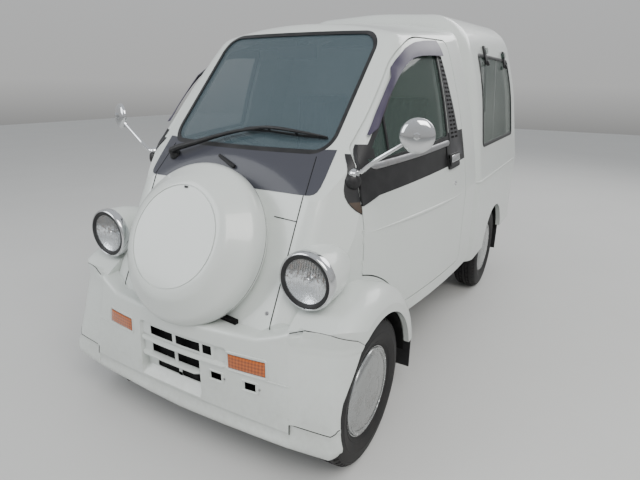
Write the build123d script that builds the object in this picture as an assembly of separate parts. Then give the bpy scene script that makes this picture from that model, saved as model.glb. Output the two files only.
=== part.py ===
from build123d import *
import math
import os

# Kei truck: a two-door cab ahead of a closed load box with windows and a tailgate.
# Millimetres, +X forward, +Y to the vehicle's left, +Z up.
# The origin lies on the ground, in the middle of the length and the width.

# Driving dimensions
WHEELBASE = 1840
FRONT_AXLE_X = 1025
REAR_AXLE_X = FRONT_AXLE_X - WHEELBASE
TRACK_Y = 545
TYRE_R = 268
TYRE_W = 145
RIM_R = 152
BODY_FLOOR_Z = 395
WAIST_Z = 810
PANEL = 34
DOOR_GAP = 5
GLASS_SINK = 4
GLASS = 5
SEAL_W = 14

# Cab
CAB_REAR_X = -180
CAB_HALF_W = 640
CAB_SIDE_R = 5256
CAB_BELT = (582, 1140)
CAB_EAVES = (455, 1545)
CAB_ROOF_Z = 1600
CAB_ROOF_RISE = 0.1
CAB_ROOF_R = 1900
CAB_PILLAR_R = 80
SCREEN_LEAN = 0.989
SCREEN_BASE = (980, 1060)
HEADER_R = 135
NOSE_LEAN = 0.513
NOSE_BASE = (1260, 530)
NOSE_HALF_W = 400
NOSE_CORNER_R = 85
COWL_Z = 946

# Load box
BOX_FRONT_X = CAB_REAR_X - 6
BOX_REAR_X = -1380
BOX_HALF_W = 648
BOX_FLOOR_Z = 355
BOX_BELT = (578, 1270)
BOX_SHOULDER_SLOPE = 0.296
BOX_ROOF_FRONT_Z = 1655
BOX_ROOF_REAR_Z = 1705
BOX_CROWN = 24
BOX_SHOULDER_R = 240
BOX_FRONT_R = 110
BOX_BED_Z = 600

# Wheels and steering
WHEEL_Z = TYRE_R
ARCH_R = 295
KINGPIN_LOW = (FRONT_AXLE_X, 520, 152)
KINGPIN_HIGH = (FRONT_AXLE_X, 452, 620)
SPINDLE_R = 18
SPINDLE_FIT = 0.05

EPS = 0.3
os.makedirs("parts", exist_ok=True)


def save(name, *solids):
    """Write the solids of one node."""
    kept = []
    for item in solids:
        kept.extend(item.solids())
    shape = kept[0] if len(kept) == 1 else Compound(children=kept)
    export_step(shape, f"parts/{name}.step")


def outline(points):
    """Closed sketch through straight-sided points."""
    with BuildSketch() as sketch:
        with BuildLine():
            Polyline(*points, close=True)
        make_face()
    return sketch.sketch


def rounded(sketch, x, y, radius):
    """Round the one corner of a sketch that lies at x, y."""
    found = [v for v in sketch.vertices() if abs(v.X - x) < 1 and abs(v.Y - y) < 1]
    return fillet(found, radius)


def all_rounded(points, radius):
    """Closed outline with every corner rounded alike."""
    sketch = outline(points)
    return fillet(sketch.vertices(), radius)


def inset(sketch, distance):
    """Sketch moved inwards by a distance."""
    if not distance:
        return sketch
    return offset(sketch, -distance, kind=Kind.INTERSECTION)


def side_prism(sketch, y0, y1):
    """Prism of a side view (x, z), from y0 to y1."""
    return extrude(Plane.XZ.offset(-y0) * sketch, amount=-(y1 - y0))


def plan_prism(sketch, z0, z1):
    """Prism of a plan (x, y), from z0 to z1."""
    return extrude(Plane.XY.offset(z0) * sketch, amount=z1 - z0)


def front_prism(sketch, x0, x1):
    """Prism of a front view (y, z), from x0 to x1."""
    return extrude(Plane.YZ.offset(x0) * sketch, amount=x1 - x0)


def block(x0, x1, y0, y1, z0, z1):
    """Box between two corners."""
    size = (x1 - x0, y1 - y0, z1 - z0)
    return Pos((x0 + x1) / 2, (y0 + y1) / 2, (z0 + z1) / 2) * Box(*size)


def rod(start, end, radius):
    """Round bar between two points."""
    start, end = Vector(*start), Vector(*end)
    plane = Plane(origin=(start + end) / 2, z_dir=end - start)
    return plane * Cylinder(radius, (end - start).length)


def flip(shape):
    """Mirror image across the middle plane."""
    return mirror(shape, about=Plane.XZ)


def turned(points, y, x, z):
    """Solid of revolution about the axle line; points are (y offset, radius)."""
    sketch = outline([(radius, along) for along, radius in points])
    body = revolve(Plane.XZ * sketch, axis=Axis.Z)
    return Pos(x, y, z) * (Rot(-90, 0, 0) * body)


# Forms of the cab and the load box: each is a family of nested solids, so that
# every wall is the space between one member of the family and a smaller one.


def oblique(sketch, z0, lean, height):
    """Extrude a plan upwards along a line that leans backwards."""
    raised = Plane.XY.offset(z0) * sketch
    return extrude(raised, amount=height * math.hypot(1, lean), dir=(-lean, 0, 1))


def cab_side(depth):
    """Left side: one barrelled section, turned about a distant upright axis."""
    with BuildSketch() as sketch:
        with BuildLine():
            Polyline((CAB_HALF_W, WAIST_Z), (CAB_HALF_W, BODY_FLOOR_Z), (-800, BODY_FLOOR_Z), (-800, 1700))
            barrel = ThreePointArc((CAB_HALF_W, WAIST_Z), CAB_BELT, CAB_EAVES)
            rise = Line(barrel @ 1, (barrel @ 1) + (barrel % 1) * 180)
            Line(rise @ 1, (-800, 1700))
        make_face()
    section = rounded(sketch.sketch, CAB_HALF_W, WAIST_Z, 90)
    section = Plane.YZ.offset(CAB_REAR_X) * inset(section, depth)
    axis = Axis((CAB_REAR_X, CAB_HALF_W - CAB_SIDE_R, 0), (0, 0, -1))
    return revolve(section, axis=axis, revolution_arc=18.5)


def cab_top(depth):
    """Windscreen, header and roof: one side profile, turned about a low lengthwise axis."""
    axis_z = CAB_ROOF_Z - CAB_ROOF_R
    base_x, base_z = SCREEN_BASE
    back_x = -400
    roof_at_0 = CAB_ROOF_Z + CAB_ROOF_RISE * CAB_REAR_X
    header_x = (base_x - SCREEN_LEAN * (roof_at_0 - base_z)) / (1 - SCREEN_LEAN * CAB_ROOF_RISE)
    header_z = roof_at_0 - CAB_ROOF_RISE * header_x
    front_x = base_x + SCREEN_LEAN * (base_z - 300)
    profile = outline([(back_x, roof_at_0 - CAB_ROOF_RISE * back_x), (header_x, header_z),
                       (front_x, 300), (front_x, axis_z), (back_x, axis_z)])
    profile = rounded(profile, header_x, header_z, HEADER_R)
    return revolve(Plane.XZ * inset(profile, depth), axis=Axis((0, 0, axis_z), (1, 0, 0)))


def nose_tool(depth):
    """Flat leaning nose with rounded corners."""
    start_z = 330
    x0 = NOSE_BASE[0] + NOSE_LEAN * (NOSE_BASE[1] - start_z)
    back = 2600
    wide = NOSE_HALF_W + 0.84 * back
    plan = outline([(x0, -NOSE_HALF_W), (x0, NOSE_HALF_W), (x0 - back, wide), (x0 - back, -wide)])
    for side in (1, -1):
        plan = rounded(plan, x0, side * NOSE_HALF_W, NOSE_CORNER_R)
    return oblique(inset(plan, depth * 1.12), start_z, NOSE_LEAN, 1400)


def cab_form(depth):
    """Solid cab, moved inwards by a depth."""
    side = cab_side(depth)
    top = cab_top(depth)
    body = side & flip(side) & top
    skins = top.faces()
    pillars = [e for e in body.edges() if abs(e.center().Y) > 150 and e.center().Z > 900
               and (e @ 0.5).X > CAB_REAR_X + 1
               and min(f.distance_to(e @ 0.5) for f in skins) < 0.1]
    body = fillet(pillars, max(CAB_PILLAR_R - depth, 30))
    body = body & nose_tool(depth)
    if depth:
        body = body & block(CAB_REAR_X + depth, 1600, -900, 900, 0, 2000)
    return body


def box_section(depth, roof_z):
    """Front view of the load box."""
    edge_z = roof_z - BOX_CROWN
    edge_y = BOX_BELT[0] - BOX_SHOULDER_SLOPE * (edge_z - BOX_BELT[1])
    half = [(BOX_HALF_W, BOX_FLOOR_Z), (BOX_HALF_W, WAIST_Z), BOX_BELT, (edge_y, edge_z)]
    section = outline(half + [(0, roof_z)] + [(-y, z) for y, z in reversed(half)])
    for side in (1, -1):
        section = rounded(section, side * edge_y, edge_z, BOX_SHOULDER_R)
        section = rounded(section, side * BOX_BELT[0], BOX_BELT[1], 1500)
        section = rounded(section, side * BOX_HALF_W, WAIST_Z, 90)
    section = rounded(section, 0, roof_z, 1500)
    return inset(section, depth)


def box_form(depth):
    """Solid load box, moved inwards by a depth; its roof rises to the rear."""
    front_x = BOX_FRONT_X - depth
    rear_x = BOX_REAR_X + depth
    front = Plane.YZ.offset(front_x) * box_section(depth, BOX_ROOF_FRONT_Z)
    rear = Plane.YZ.offset(rear_x) * box_section(depth, BOX_ROOF_REAR_Z)
    body = loft([front, rear], ruled=True)
    edges = [e for e in body.edges() if abs(e.center().X - front_x) < 0.1
             and e.center().Z > BOX_FLOOR_Z + depth + 1]
    return fillet(edges, max(BOX_FRONT_R - depth, 20))


CAB_OUTER = cab_form(0)
CAB_INNER = cab_form(PANEL)
CAB_GLASS_OUT = cab_form(GLASS_SINK)
CAB_GLASS_IN = cab_form(GLASS_SINK + GLASS)
BOX_OUTER = box_form(0)
BOX_INNER = box_form(PANEL)
BOX_GLASS_OUT = box_form(2)
BOX_GLASS_IN = box_form(7)
CAB_ROOM = cab_form(PANEL + EPS)
CAB_ROOM_LOW = Pos(0, 0, -PANEL - EPS) * (CAB_ROOM & block(-400, 1500, -900, 900, 300, 600))
CAB_INNER_LOW = CAB_ROOM + CAB_ROOM_LOW
BOX_ROOM = box_form(PANEL + EPS)
CAB_WALL = CAB_OUTER - CAB_INNER
BOX_WALL = BOX_OUTER - BOX_INNER
CAB_PANE = CAB_GLASS_OUT - CAB_GLASS_IN
BOX_PANE = BOX_GLASS_OUT - BOX_GLASS_IN

# Side outlines of the left door, its window and its black trim, as x, z points
ARCH_CENTRE = (FRONT_AXLE_X, 270)
DOOR_ARC_R = 400
DOOR_REAR_X = 15
DOOR_FRONT_X = 932
DOOR_BOTTOM_Z = 452
DOOR_IN_Y = 385
DOOR_TOP = [(DOOR_FRONT_X, 925, 60), (905, 1065, 150), (500, 1474, 430), (DOOR_REAR_X, 1486, 50)]
WINDOW = [(885, 1042, 10), (481, 1440, 400), (195, 1446, 25), (225, 1083, 20)]
TRIM = [(DOOR_FRONT_X, 921), (DOOR_REAR_X, 966), (DOOR_REAR_X, 1100), (225, 1096), (870, 1056),
        (870, 1106), (DOOR_FRONT_X, 1060)]


def rounded_outline(corners):
    """Outline whose corners each give x, z and a radius."""
    face = outline([(x, z) for x, z, radius in corners])
    for x, z, radius in corners:
        if radius:
            face = rounded(face, x, z, radius)
    return face


def grown(face, distance):
    """Sketch moved outwards, with round corners."""
    return offset(face, distance, kind=Kind.ARC) if distance else face


def door_outline(grow):
    """Door in side view, grown by a gap; its front foot follows the wheel arch."""
    cx, cz = ARCH_CENTRE
    radius = DOOR_ARC_R
    top_z = cz + math.sqrt(radius**2 - (DOOR_FRONT_X - cx)**2)
    low_x = cx - math.sqrt(radius**2 - (DOOR_BOTTOM_Z - cz)**2)
    middle = math.radians(135)
    with BuildSketch() as sketch:
        with BuildLine():
            ThreePointArc((DOOR_FRONT_X, top_z),
                          (cx + radius * math.cos(middle), cz + radius * math.sin(middle)),
                          (low_x, DOOR_BOTTOM_Z))
            Polyline((low_x, DOOR_BOTTOM_Z), (DOOR_REAR_X, DOOR_BOTTOM_Z),
                     *[(x, z) for x, z, r in reversed(DOOR_TOP)], (DOOR_FRONT_X, top_z))
        make_face()
    face = sketch.sketch
    for x, z, r in DOOR_TOP:
        face = rounded(face, x, z, r)
    face = rounded(face, DOOR_REAR_X, DOOR_BOTTOM_Z, 30)
    return grown(face, grow)


def door_window(grow):
    """Door window in side view."""
    return grown(rounded_outline(WINDOW), grow)


def left_prism(face):
    """Prism of a side view through the left wall only."""
    return side_prism(face, DOOR_IN_Y, 900)


# Door hinges: two slim barrels in the seam ahead of each door
DOOR_HINGE = (DOOR_FRONT_X + DOOR_GAP / 2, 520)
HINGE_R = 3.5
HINGE_FIT = 0.3
DOOR_HINGE_ZS = (690, 800)
HINGE_HALF = 12


def hinge_bar(z0, z1, radius=HINGE_R):
    """Upright bar on the left door's hinge line."""
    return rod((*DOOR_HINGE, z0), (*DOOR_HINGE, z1), radius)


def hinge_leaf(z0, z1, reach):
    """Thin leaf that ties a hinge bar to the panel beside it."""
    x, y = DOOR_HINGE
    x0, x1 = sorted((x, x + reach))
    return block(x0, x1, y - 10, y + 0.5, z0, z1)


door_knuckles = []
post_knuckles = []
door_notches = []
post_notches = []
for z in DOOR_HINGE_ZS:
    low, high = z - HINGE_HALF, z + HINGE_HALF
    door_knuckles.append(hinge_bar(low, high) + hinge_leaf(low, high, -9))
    post_notches.append(hinge_bar(low - HINGE_FIT, high + HINGE_FIT, HINGE_R + HINGE_FIT))
    for z0, z1 in ((low - HINGE_HALF, low - HINGE_FIT), (high + HINGE_FIT, high + HINGE_HALF)):
        post_knuckles.append(hinge_bar(z0, z1) + hinge_leaf(z0, z1, 9))
        notch = hinge_bar(z0 - HINGE_FIT, z1 + HINGE_FIT, HINGE_R + HINGE_FIT)
        door_notches.append(notch - door_knuckles[-1])

CAB_SEAL_IN = cab_form(GLASS_SINK + GLASS + 8)
CAB_SEAL = CAB_OUTER - CAB_SEAL_IN
door_cut = left_prism(door_outline(DOOR_GAP))
door_shape = left_prism(door_outline(0))
window_cut = left_prism(door_window(SEAL_W))
trim_face = outline(TRIM) & door_outline(-2) - door_window(SEAL_W)
door_trim = (CAB_OUTER - CAB_GLASS_OUT) & left_prism(trim_face)
door_body = (CAB_WALL & door_shape) - window_cut - door_trim
door_body = door_body - door_notches + door_knuckles
door_pane = CAB_PANE & left_prism(door_window(0))
door_seal = CAB_SEAL & left_prism(door_window(SEAL_W) - door_window(0))
handle = side_prism(all_rounded([(118, 946), (250, 940), (250, 996), (118, 1002)], 8), 560, 640)
handle = handle & (Pos(0, 9, 0) * CAB_OUTER) - CAB_OUTER
save("door_left", door_body)
save("door_right", flip(door_body))
save("door_glass_left", door_pane)
save("door_glass_right", flip(door_pane))
save("door_trim_left", door_trim + handle, door_seal)
save("door_trim_right", flip(door_trim + handle), flip(door_seal))

# Windscreen, as y, z points seen from the front
SCREEN_VIEW = [(362, 1078, 55), (362, 1482, 62)]


def screen_outline(grow):
    """Windscreen seen from the front."""
    right = [(-y, z, r) for y, z, r in SCREEN_VIEW]
    return grown(rounded_outline(list(reversed(right)) + SCREEN_VIEW), grow)


def front_cut(face):
    """Prism of a front view through the front of the cab only."""
    return front_prism(face, 380, 1500)


screen_hole = front_cut(screen_outline(SEAL_W))
save("windscreen", CAB_PANE & front_cut(screen_outline(0)))
save("windscreen_seal", CAB_SEAL & front_cut(screen_outline(SEAL_W) - screen_outline(0)))

# Cowl and nose panels in the front wall
COWL_VIEW = [(352, COWL_Z), (333, 1060), (-333, 1060), (-352, COWL_Z)]
NOSE_VIEW = [(345, 500), (345, COWL_Z), (-345, COWL_Z), (-345, 500)]
LOW_CUT = block(1120, 1500, -900, 900, 300, 515)
cowl_cut = front_cut(outline(COWL_VIEW))
nose_cut = front_prism(outline(NOSE_VIEW), 1020, 1500)
save("cowl_panel", (CAB_WALL & cowl_cut) - screen_hole)
save("nose_panel", (CAB_WALL & nose_cut) - LOW_CUT)

# Wheel wells and fenders
WELL_IN_Y = 312
FENDER_R = 385
FENDER_Y = 645
FENDER_IN_Y = 425
FENDER_LOW_Z = 330
FENDER_EDGE_R = 72
BUMPER_TOP_Z = 530
BUMPER_LIP_Z = 240
BUMPER_LOW_Z = 165
BUMPER_X = 1340
BUMPER_BOW_R = 1750
BUMPER_CORNER_R = 120
BUMPER_REAR_X = 1165
BUMPER_LOW_BOW_R = 7000
BUMPER_LOW_CORNER_R = 45
BUMPER_T = 24


def wheel_bar(radius, y0, y1, x=FRONT_AXLE_X):
    """Cylinder about a wheel's axle line."""
    return rod((x, y0, WHEEL_Z), (x, y1, WHEEL_Z), radius)


def bumper_plan(shrink, bow_r=BUMPER_BOW_R, corner_r=BUMPER_CORNER_R):
    """Bumper seen from above."""
    half = FENDER_Y
    sag = bow_r - math.sqrt(bow_r**2 - half**2)
    with BuildSketch() as sketch:
        with BuildLine():
            ThreePointArc((BUMPER_X - sag, -half), (BUMPER_X, 0), (BUMPER_X - sag, half))
            Polyline((BUMPER_X - sag, half), (600, half), (600, -half), (BUMPER_X - sag, -half))
        make_face()
    plan = sketch.sketch
    for side in (1, -1):
        plan = rounded(plan, BUMPER_X - sag, side * half, corner_r)
    return inset(plan, shrink)


def bumper_form(shrink, z0, z1):
    """Bumper solid whose corners sweep back more and more towards the top."""
    low = Plane.XY.offset(BUMPER_LIP_Z) * bumper_plan(shrink, BUMPER_LOW_BOW_R, BUMPER_LOW_CORNER_R)
    high = Plane.XY.offset(BUMPER_TOP_Z) * bumper_plan(shrink)
    body = loft([low, high], ruled=True)
    foot = plan_prism(bumper_plan(shrink, BUMPER_LOW_BOW_R, BUMPER_LOW_CORNER_R), 0, BUMPER_LIP_Z)
    cap = plan_prism(bumper_plan(shrink), BUMPER_TOP_Z, BUMPER_TOP_Z + 300)
    return (body + foot + cap) & block(500, 1500, -900, 900, z0, z1)


def fender_profile(radius):
    """Side view of a front fender."""
    cx, cz = FRONT_AXLE_X, WHEEL_Z
    rear_x = cx - math.sqrt(radius**2 - (FENDER_LOW_Z - cz)**2)
    front_x = cx + math.sqrt(radius**2 - (BUMPER_TOP_Z - cz)**2)
    with BuildSketch() as sketch:
        with BuildLine():
            ThreePointArc((rear_x, FENDER_LOW_Z), (cx, cz + radius), (front_x, BUMPER_TOP_Z))
            Polyline((front_x, BUMPER_TOP_Z), (cx, BUMPER_TOP_Z), (cx, FENDER_LOW_Z),
                     (rear_x, FENDER_LOW_Z))
        make_face()
    return sketch.sketch


fender_block = side_prism(fender_profile(FENDER_R), FENDER_IN_Y, FENDER_Y)
fender_edge = [e for e in fender_block.edges() if e.geom_type == GeomType.CIRCLE
               and abs(e.center().Y - FENDER_Y) < 0.1]
fender_block = fillet(fender_edge, FENDER_EDGE_R)
fender_block = fender_block & bumper_form(1, 300, 800)
inner_room = wheel_bar(ARCH_R + 16, 100, FENDER_IN_Y + 1) & block(500, 1500, 0, 900, 300, 800)
fender_block = fender_block - inner_room
well = wheel_bar(ARCH_R, 100, 900)
well_inner = wheel_bar(ARCH_R + 8, 100, FENDER_Y - 22)
tower = Pos(FRONT_AXLE_X, KINGPIN_HIGH[1], 0) * plan_prism(Circle(72), 500, 640)
tower_room = Pos(FRONT_AXLE_X, KINGPIN_HIGH[1], 0) * plan_prism(Circle(66), 480, 632)
fender = fender_block - well - well_inner - tower
save("fender_left", fender)
save("fender_right", flip(fender))
well_room = wheel_bar(ARCH_R + 8, WELL_IN_Y, 900)
fender_room = side_prism(fender_profile(FENDER_R), FENDER_IN_Y, 900)

# Cab shell
cab_shell = CAB_WALL - door_cut - flip(door_cut)
cab_shell = cab_shell - screen_hole - cowl_cut - nose_cut - LOW_CUT
cab_shell = cab_shell - well_room - flip(well_room)
cab_shell = cab_shell - fender_room - flip(fender_room)
cab_shell = cab_shell - tower - flip(tower)
cab_shell = cab_shell - CAB_INNER
cab_shell = cab_shell - post_notches - [flip(n) for n in post_notches]
cab_shell = cab_shell + post_knuckles + [flip(k) for k in post_knuckles]
cab_shell = cab_shell - (Pos(0, 0, -PANEL - 1) * (CAB_INNER & block(-400, 1500, -900, 900, 300, 600)))
pieces = sorted(cab_shell.solids(), key=lambda s: s.volume)
save("cab_shell", pieces[-1])

# Cab floor with the seat step and the two wheel houses
HEEL_X = 480
STEP_Z = 640
FLOOR_T = 30
FLOOR_HALF_W = 578
floor_face = outline([
    (CAB_REAR_X + PANEL, STEP_Z), (HEEL_X, STEP_Z), (HEEL_X, BODY_FLOOR_Z + PANEL),
    (1090, BODY_FLOOR_Z + PANEL), (1150, 520), (1150 + 25, 510),
    (1100, BODY_FLOOR_Z), (HEEL_X - FLOOR_T, BODY_FLOOR_Z), (HEEL_X - FLOOR_T, STEP_Z - FLOOR_T),
    (CAB_REAR_X + PANEL, STEP_Z - FLOOR_T)])
SILL_Z = DOOR_BOTTOM_Z - DOOR_GAP
FLOOR_GAP = 6
low_room = CAB_INNER_LOW & block(-400, 1500, -900, 900, 300, SILL_Z)
high_room = cab_form(PANEL + FLOOR_GAP) & block(-400, 1500, -900, 900, SILL_Z, 900)
cab_floor = side_prism(floor_face, -FLOOR_HALF_W + 12, FLOOR_HALF_W - 12) & (low_room + high_room)
house = wheel_bar(ARCH_R + 14, WELL_IN_Y - 6, FENDER_IN_Y - EPS) - wheel_bar(ARCH_R + 8, WELL_IN_Y, 900)
house = house & block(700, 1400, 0, 900, BODY_FLOOR_Z + EPS, 700) & CAB_INNER_LOW
fender_space = side_prism(fender_profile(FENDER_R + 0.5), FENDER_IN_Y - EPS, 900)
cab_floor = cab_floor - fender_space - flip(fender_space)
cab_floor = cab_floor - well_room - flip(well_room)
cab_floor = cab_floor + house + flip(house)
tower_wall = tower - wheel_bar(ARCH_R + 8, WELL_IN_Y, 900)
cab_floor = cab_floor + tower_wall + flip(tower_wall)
cab_floor = cab_floor - tower_room - flip(tower_room)
save("cab_floor", cab_floor)

# Black corner trim ahead of each door, on the cab's fixed corner
corner_face = rounded_outline([(975, 915, 25), (972, 1000, 60), (880, 1150, 10), (800, 1150, 0),
                               (800, 915, 0)])
corner_trim = ((Pos(0, 2, 0) * CAB_OUTER) - CAB_OUTER) & side_prism(corner_face, 400, 900)
corner_trim = corner_trim - left_prism(door_outline(DOOR_GAP))
corner_trim = sorted(corner_trim.solids(), key=lambda s: s.volume)[-1]
save("corner_trims", corner_trim, flip(corner_trim))

# Load box
QUARTER_VIEW = [(-345, 985, 25), (-420, 1452, 30), (-1262, 1452, 30), (-1225, 985, 25)]
TAILGATE_VIEW = [(505, 622, 40), (430, 1560, 90)]
TAILGATE_WINDOW = [(400, 1080, 45), (360, 1490, 60)]
GATE_HINGE = (BOX_REAR_X - 4, 1574)
GATE_HINGE_R = 8
GATE_HINGE_YS = (-250, 250)
quarter_prism = side_prism(rounded_outline(QUARTER_VIEW), 400, 900)
quarter_hole = side_prism(grown(rounded_outline(QUARTER_VIEW), EPS), 400, 900)


def rear_view(corners, grow):
    """Symmetric outline seen from behind."""
    mirrored = [(-y, z, r) for y, z, r in reversed(corners)]
    return grown(rounded_outline(mirrored + corners), grow)


def rear_prism(face):
    """Prism of a rear view through the rear wall only."""
    return front_prism(face, BOX_REAR_X - 60, BOX_REAR_X + 90)


rear_well = rod((REAR_AXLE_X, 380, WHEEL_Z), (REAR_AXLE_X, 900, WHEEL_Z), ARCH_R)
box_in_y = BOX_HALF_W - PANEL
box_bottom = block(BOX_REAR_X + PANEL, BOX_FRONT_X - PANEL, -box_in_y, box_in_y, 300, 420)
box_shell = BOX_WALL - box_bottom - quarter_hole - flip(quarter_hole)
box_shell = box_shell - rear_well - flip(rear_well)
box_shell = box_shell - rear_prism(rear_view(TAILGATE_VIEW, DOOR_GAP))
rear_low = block(BOX_REAR_X - 10, BOX_REAR_X + 60, -560, 560, 300, 540)
box_shell = box_shell - rear_low
quarter_pane = (BOX_OUTER - BOX_GLASS_IN) & quarter_prism
hinge_x = [-575, -1105]
knobs = [rod((x, 470, 1468), (x, 540, 1480), 17) for x in hinge_x]
for knob in knobs:
    quarter_pane = quarter_pane + (knob - BOX_OUTER)
save("quarter_windows", quarter_pane, flip(quarter_pane))
tailgate = (BOX_WALL & rear_prism(rear_view(TAILGATE_VIEW, 0))) - rear_prism(rear_view(TAILGATE_WINDOW, 12))
tail_pane = BOX_PANE & rear_prism(rear_view(TAILGATE_WINDOW, 12))
save("tailgate_glass", tail_pane)
save("load_floor", BOX_ROOM & block(-1500, 0, -900, 900, BOX_BED_Z - 20, BOX_BED_Z))

# Frame: two rails that rise over the rear axle, with cross members and outriggers
RAIL_Y = 285
RAIL_W = 50
RAIL_T = 60
RAIL_TOP_Z = BODY_FLOOR_Z - EPS
RAIL_REAR_TOP_Z = BOX_BED_Z - 20 - EPS
RAIL_REAR_X = BOX_REAR_X + PANEL + 6
RAIL_IN_Y = RAIL_Y - RAIL_W / 2
RAIL_OUT_Y = RAIL_Y + RAIL_W / 2
CROSS_HALF = 30
CROSS_MEMBERS = [(1130, RAIL_TOP_Z), (600, RAIL_TOP_Z), (-100, RAIL_TOP_Z), (-560, RAIL_REAR_TOP_Z),
                 (-1060, RAIL_REAR_TOP_Z), (RAIL_REAR_X + CROSS_HALF, RAIL_REAR_TOP_Z)]
OUTRIGGER_XS = (590, 250, -120)
rail_face = outline([
    (1160, RAIL_TOP_Z), (-190, RAIL_TOP_Z), (-350, RAIL_REAR_TOP_Z), (RAIL_REAR_X, RAIL_REAR_TOP_Z),
    (RAIL_REAR_X, RAIL_REAR_TOP_Z - RAIL_T), (-342, RAIL_REAR_TOP_Z - RAIL_T),
    (-165, RAIL_TOP_Z - RAIL_T), (1160, RAIL_TOP_Z - RAIL_T)])
rail = side_prism(rail_face, RAIL_IN_Y, RAIL_OUT_Y)
members = [rail, flip(rail)]
for x, z in CROSS_MEMBERS:
    members.append(block(x - CROSS_HALF, x + CROSS_HALF, -RAIL_IN_Y, RAIL_IN_Y, z - RAIL_T + 10, z - 12))
for x in OUTRIGGER_XS:
    arm = block(x - 25, x + 25, RAIL_OUT_Y, 565, RAIL_TOP_Z - 40, RAIL_TOP_Z)
    members.extend([arm, flip(arm)])
save("frame", *members)
gate_knuckles = []
for y in GATE_HINGE_YS:
    x, z = GATE_HINGE
    notch = rod((x, y - 25 - EPS, z), (x, y + 25 + EPS, z), GATE_HINGE_R + EPS)
    box_shell = box_shell - notch
    for y0, y1 in ((y - 38, y - 25 - EPS), (y + 25 + EPS, y + 38)):
        box_shell = box_shell + rod((x, y0, z), (x, y1, z), GATE_HINGE_R)
    leaf_plate = block(x - 4, x + 4, y - 25, y + 25, z - 46, z)
    gate_knuckles.append(rod((x, y - 25, z), (x, y + 25, z), GATE_HINGE_R) + leaf_plate)
save("tailgate", tailgate + gate_knuckles)
rail_space = side_prism(offset(rail_face, 1, kind=Kind.INTERSECTION), RAIL_IN_Y - 1, RAIL_OUT_Y + 1)
box_shell = box_shell - rail_space - flip(rail_space)
save("box_shell", box_shell)

# Engine as one plain block, slung between the rails
engine = block(-60, 400, -215, 215, 205, 560)
engine_arm = block(150, 210, -RAIL_Y + RAIL_W / 2 + EPS, RAIL_Y - RAIL_W / 2 - EPS, 345, 385)
save("engine", engine + engine_arm)

# Wheels: turned about the axle line, outboard side towards +y
RIM_PROFILE = [(-57, RIM_R + 10), (-53, RIM_R + 10), (-52, RIM_R), (52, RIM_R), (53, RIM_R + 10),
               (57, RIM_R + 10), (57, RIM_R + 4), (54, RIM_R - 5), (46, RIM_R - 7), (42, 134),
               (40, 118), (52, 104), (66, 80), (74, 45), (76, 0), (64, 0), (64, 30), (46, 30), (46, SPINDLE_R + SPINDLE_FIT),
               (-13, SPINDLE_R + SPINDLE_FIT), (-13, 85), (14, 85), (16, 60), (30, 60), (32, 118),
               (34, 140), (-50, 144), (-57, RIM_R + 4)]
TYRE_PROFILE = [(-51, RIM_R), (51, RIM_R), (52, 163), (58, 172), (TYRE_W / 2, 208), (70, 236), (58, 258),
                (38, 266), (0, TYRE_R), (-38, 266), (-58, 258), (-70, 236), (-TYRE_W / 2, 208),
                (-58, 172), (-52, 163)]
SPOTS = {"front": FRONT_AXLE_X, "rear": REAR_AXLE_X}
for end, x in SPOTS.items():
    wheel = turned(RIM_PROFILE, TRACK_Y, x, WHEEL_Z)
    tyre = turned(TYRE_PROFILE, TRACK_Y, x, WHEEL_Z)
    save(f"wheel_{end}_left", wheel)
    save(f"wheel_{end}_right", flip(wheel))
    save(f"tyre_{end}_left", tyre)
    save(f"tyre_{end}_right", flip(tyre))

# Knuckles with their struts
BALL_Z = 146.7


def on_kingpin(z, side=1):
    """Point of a kingpin's line at a height."""
    share = (z - KINGPIN_LOW[2]) / (KINGPIN_HIGH[2] - KINGPIN_LOW[2])
    return (FRONT_AXLE_X, side * (KINGPIN_LOW[1] + share * (KINGPIN_HIGH[1] - KINGPIN_LOW[1])), z)


knuckle = rod((FRONT_AXLE_X, 478, WHEEL_Z), (FRONT_AXLE_X, TRACK_Y + 44, WHEEL_Z), SPINDLE_R)
knuckle = knuckle + rod((FRONT_AXLE_X, 476, WHEEL_Z), (FRONT_AXLE_X, 524, WHEEL_Z), 42)
knuckle = knuckle + rod((FRONT_AXLE_X, 500, WHEEL_Z), (FRONT_AXLE_X, 511, 166), 12)
knuckle = knuckle + rod((FRONT_AXLE_X, 519, 160), (FRONT_AXLE_X, 517, 175), 14)
knuckle = knuckle + rod(on_kingpin(BALL_Z + EPS), on_kingpin(165), 7)
knuckle = knuckle + block(FRONT_AXLE_X - 18, FRONT_AXLE_X + 18, 428, 505, 285, 318)
knuckle = knuckle + rod((FRONT_AXLE_X, 432, 270), (FRONT_AXLE_X, 443, 520), 22)
knuckle = knuckle + rod((FRONT_AXLE_X, 443, 515), KINGPIN_HIGH, 9)
knuckle = knuckle + rod((FRONT_AXLE_X, 438, 405), (FRONT_AXLE_X, 438.4, 415), 34)
save("knuckle_left", knuckle)
save("knuckle_right", flip(knuckle))

# Front suspension fixed to the frame: cross member and lower arms
cross = block(FRONT_AXLE_X - 40, FRONT_AXLE_X + 40, -300, 300, 170, 215)
cross = cross + block(FRONT_AXLE_X - 40, FRONT_AXLE_X + 40, 262, 308, 170, RAIL_TOP_Z - RAIL_T)
cross = cross + block(FRONT_AXLE_X - 40, FRONT_AXLE_X + 40, -308, -262, 170, RAIL_TOP_Z - RAIL_T)
for side in (1, -1):
    arm = rod((FRONT_AXLE_X, side * 290, 190), (FRONT_AXLE_X, side * 506, 141.5), 10)
    eye = rod(on_kingpin(133, side), on_kingpin(BALL_Z, side), 15)
    cross = cross + arm + eye
save("front_suspension", cross)

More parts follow.
